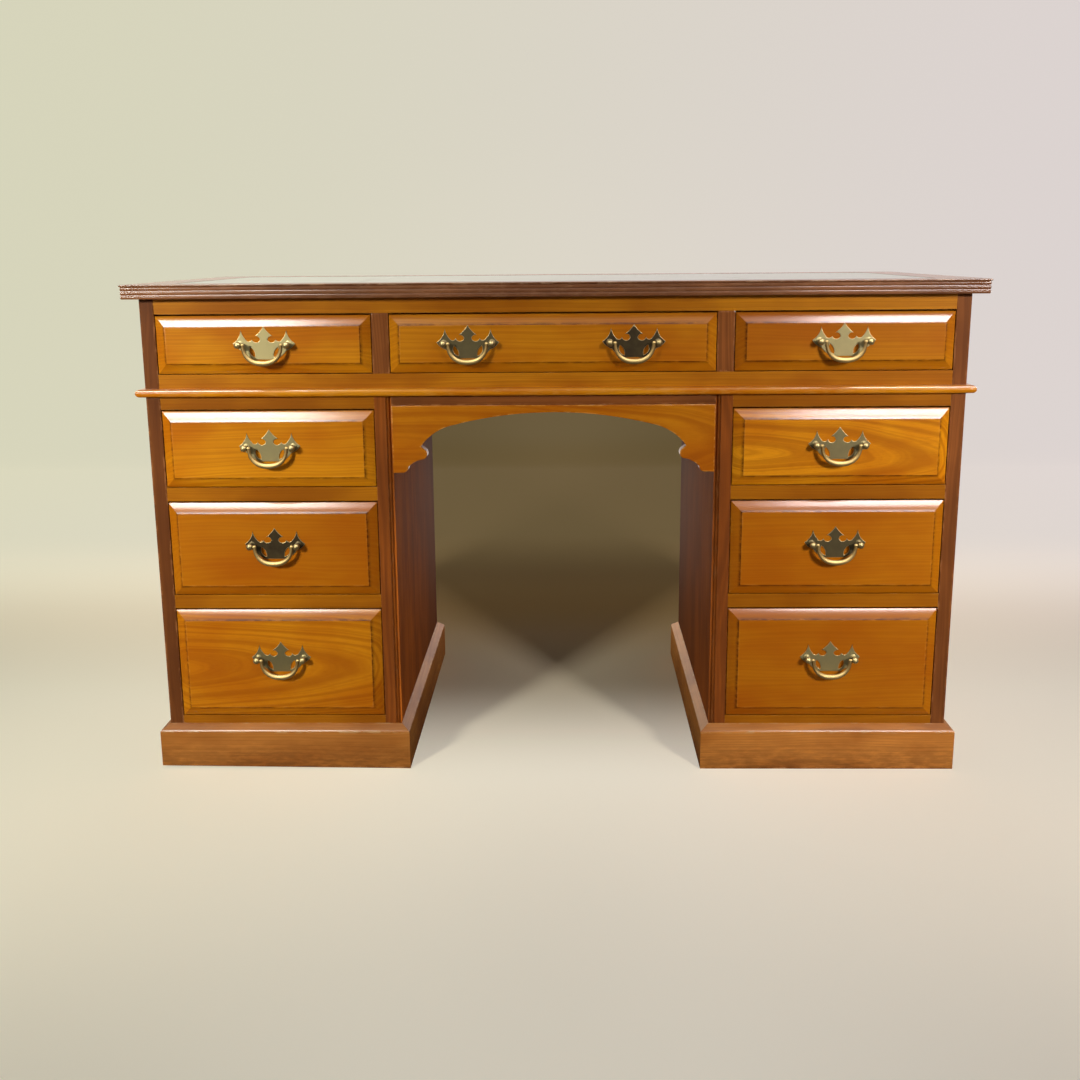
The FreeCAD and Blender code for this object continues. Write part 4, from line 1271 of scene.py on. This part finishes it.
BEAM = math.radians(36)
LAMP_PLACE = (1.8, -3.1, 1.5)
LAMP_TARGET = (0.68, 0, 0.38)
LAMP_SIZE = (0.45, 0.45)
LAMPS = {"left": (5.5, (1.0, 0.97, 0.88)), "right": (5.0, (1.0, 0.93, 0.89))}
PANEL_PLACE = (1.14, -1.34, 2.6)
PANEL_TARGET = (1.14, -1.34, 0)
PANEL_SIZE = (0.66, 0.85)
PANELS = {"left": (108, (1.0, 0.98, 0.92)), "right": (98, (1.0, 0.92, 0.93))}
FILL_PLACE = (0, 2.6, 1.9)
FILL_TARGET = (0, 0, 0.5)
FILL_SIZE = (1.8, 1.2)
FILL_WATTS = 50


def on_side(hand, place):
    """A place on the right, or the one opposite it on the left."""
    return hand * place[0], *place[1:]


for side, hand in PAIR.items():
    place, target = on_side(hand, LAMP_PLACE), on_side(hand, LAMP_TARGET)
    made = lamp(side + "_lamp", place, target, LAMP_SIZE, *LAMPS[side])
    made.data.spread = BEAM
for side, hand in PAIR.items():
    place, target = on_side(hand, PANEL_PLACE), on_side(hand, PANEL_TARGET)
    made = lamp(side + "_panel", place, target, PANEL_SIZE, *PANELS[side])
    made.visible_diffuse = False
fill = lamp("back_fill", FILL_PLACE, FILL_TARGET, FILL_SIZE, FILL_WATTS, (1.0, 0.97, 0.92))
fill.visible_glossy = False
unlit = bpy.data.collections.new("not_lit_from_behind")
unlit.objects.link(sweep)
unlit.collection_objects[0].light_linking.link_state = "EXCLUDE"
fill.light_linking.receiver_collection = unlit

room = Finish(bpy.data.worlds.new("room"), "OutputWorld")
toward = room.node("SeparateXYZ", values={"Vector": room.node("TexCoord").output("Generated")})
rays = room.node("LightPath")
mirrored = room.mix(toward.output("Y").rise(-0.4, 0.5), (0.05, 0.045, 0.04, 1), (0.7, 0.68, 0.62, 1))
mirrored = room.mix(toward.output("Z").rise(0.3, 0.8), mirrored, (1.5, 1.4, 1.2, 1))
glow = room.mix(rays.output("Is Glossy Ray"), (0.17, 0.16, 0.14, 1), mirrored)
glow = room.mix(rays.output("Is Camera Ray"), glow, paint(230, 227, 212))
bpy.context.scene.world = room.out(room.node("Background", values={"Color": glow}))

# Camera: at the photograph's place, a little above the top, looking down and slightly left.
CAMERA_PLACE = (0.02307, -2.2216, 0.8227)
PITCH, YAW, ROLL = 0.225, 0.023, -0.008
LENS = 42.28

ahead = Vector((-math.sin(YAW), math.cos(YAW), 0))
across = Vector((math.cos(YAW), math.sin(YAW), 0))
upright = Vector((0, 0, 1))
look = math.cos(PITCH) * ahead - math.sin(PITCH) * upright
rise = math.cos(PITCH) * upright + math.sin(PITCH) * ahead
right = math.cos(ROLL) * across + math.sin(ROLL) * rise
top = math.cos(ROLL) * rise - math.sin(ROLL) * across
camera_data = bpy.data.cameras.new("camera")
camera_data.lens = LENS
camera_data.sensor_width = 36
camera = bpy.data.objects.new("camera", camera_data)
camera.matrix_world = Matrix.Translation(CAMERA_PLACE) @ Matrix((right, top, -look)).transposed().to_4x4()
bpy.context.scene.collection.objects.link(camera)
bpy.context.scene.camera = camera

bpy.context.scene.view_settings.view_transform = "Standard"
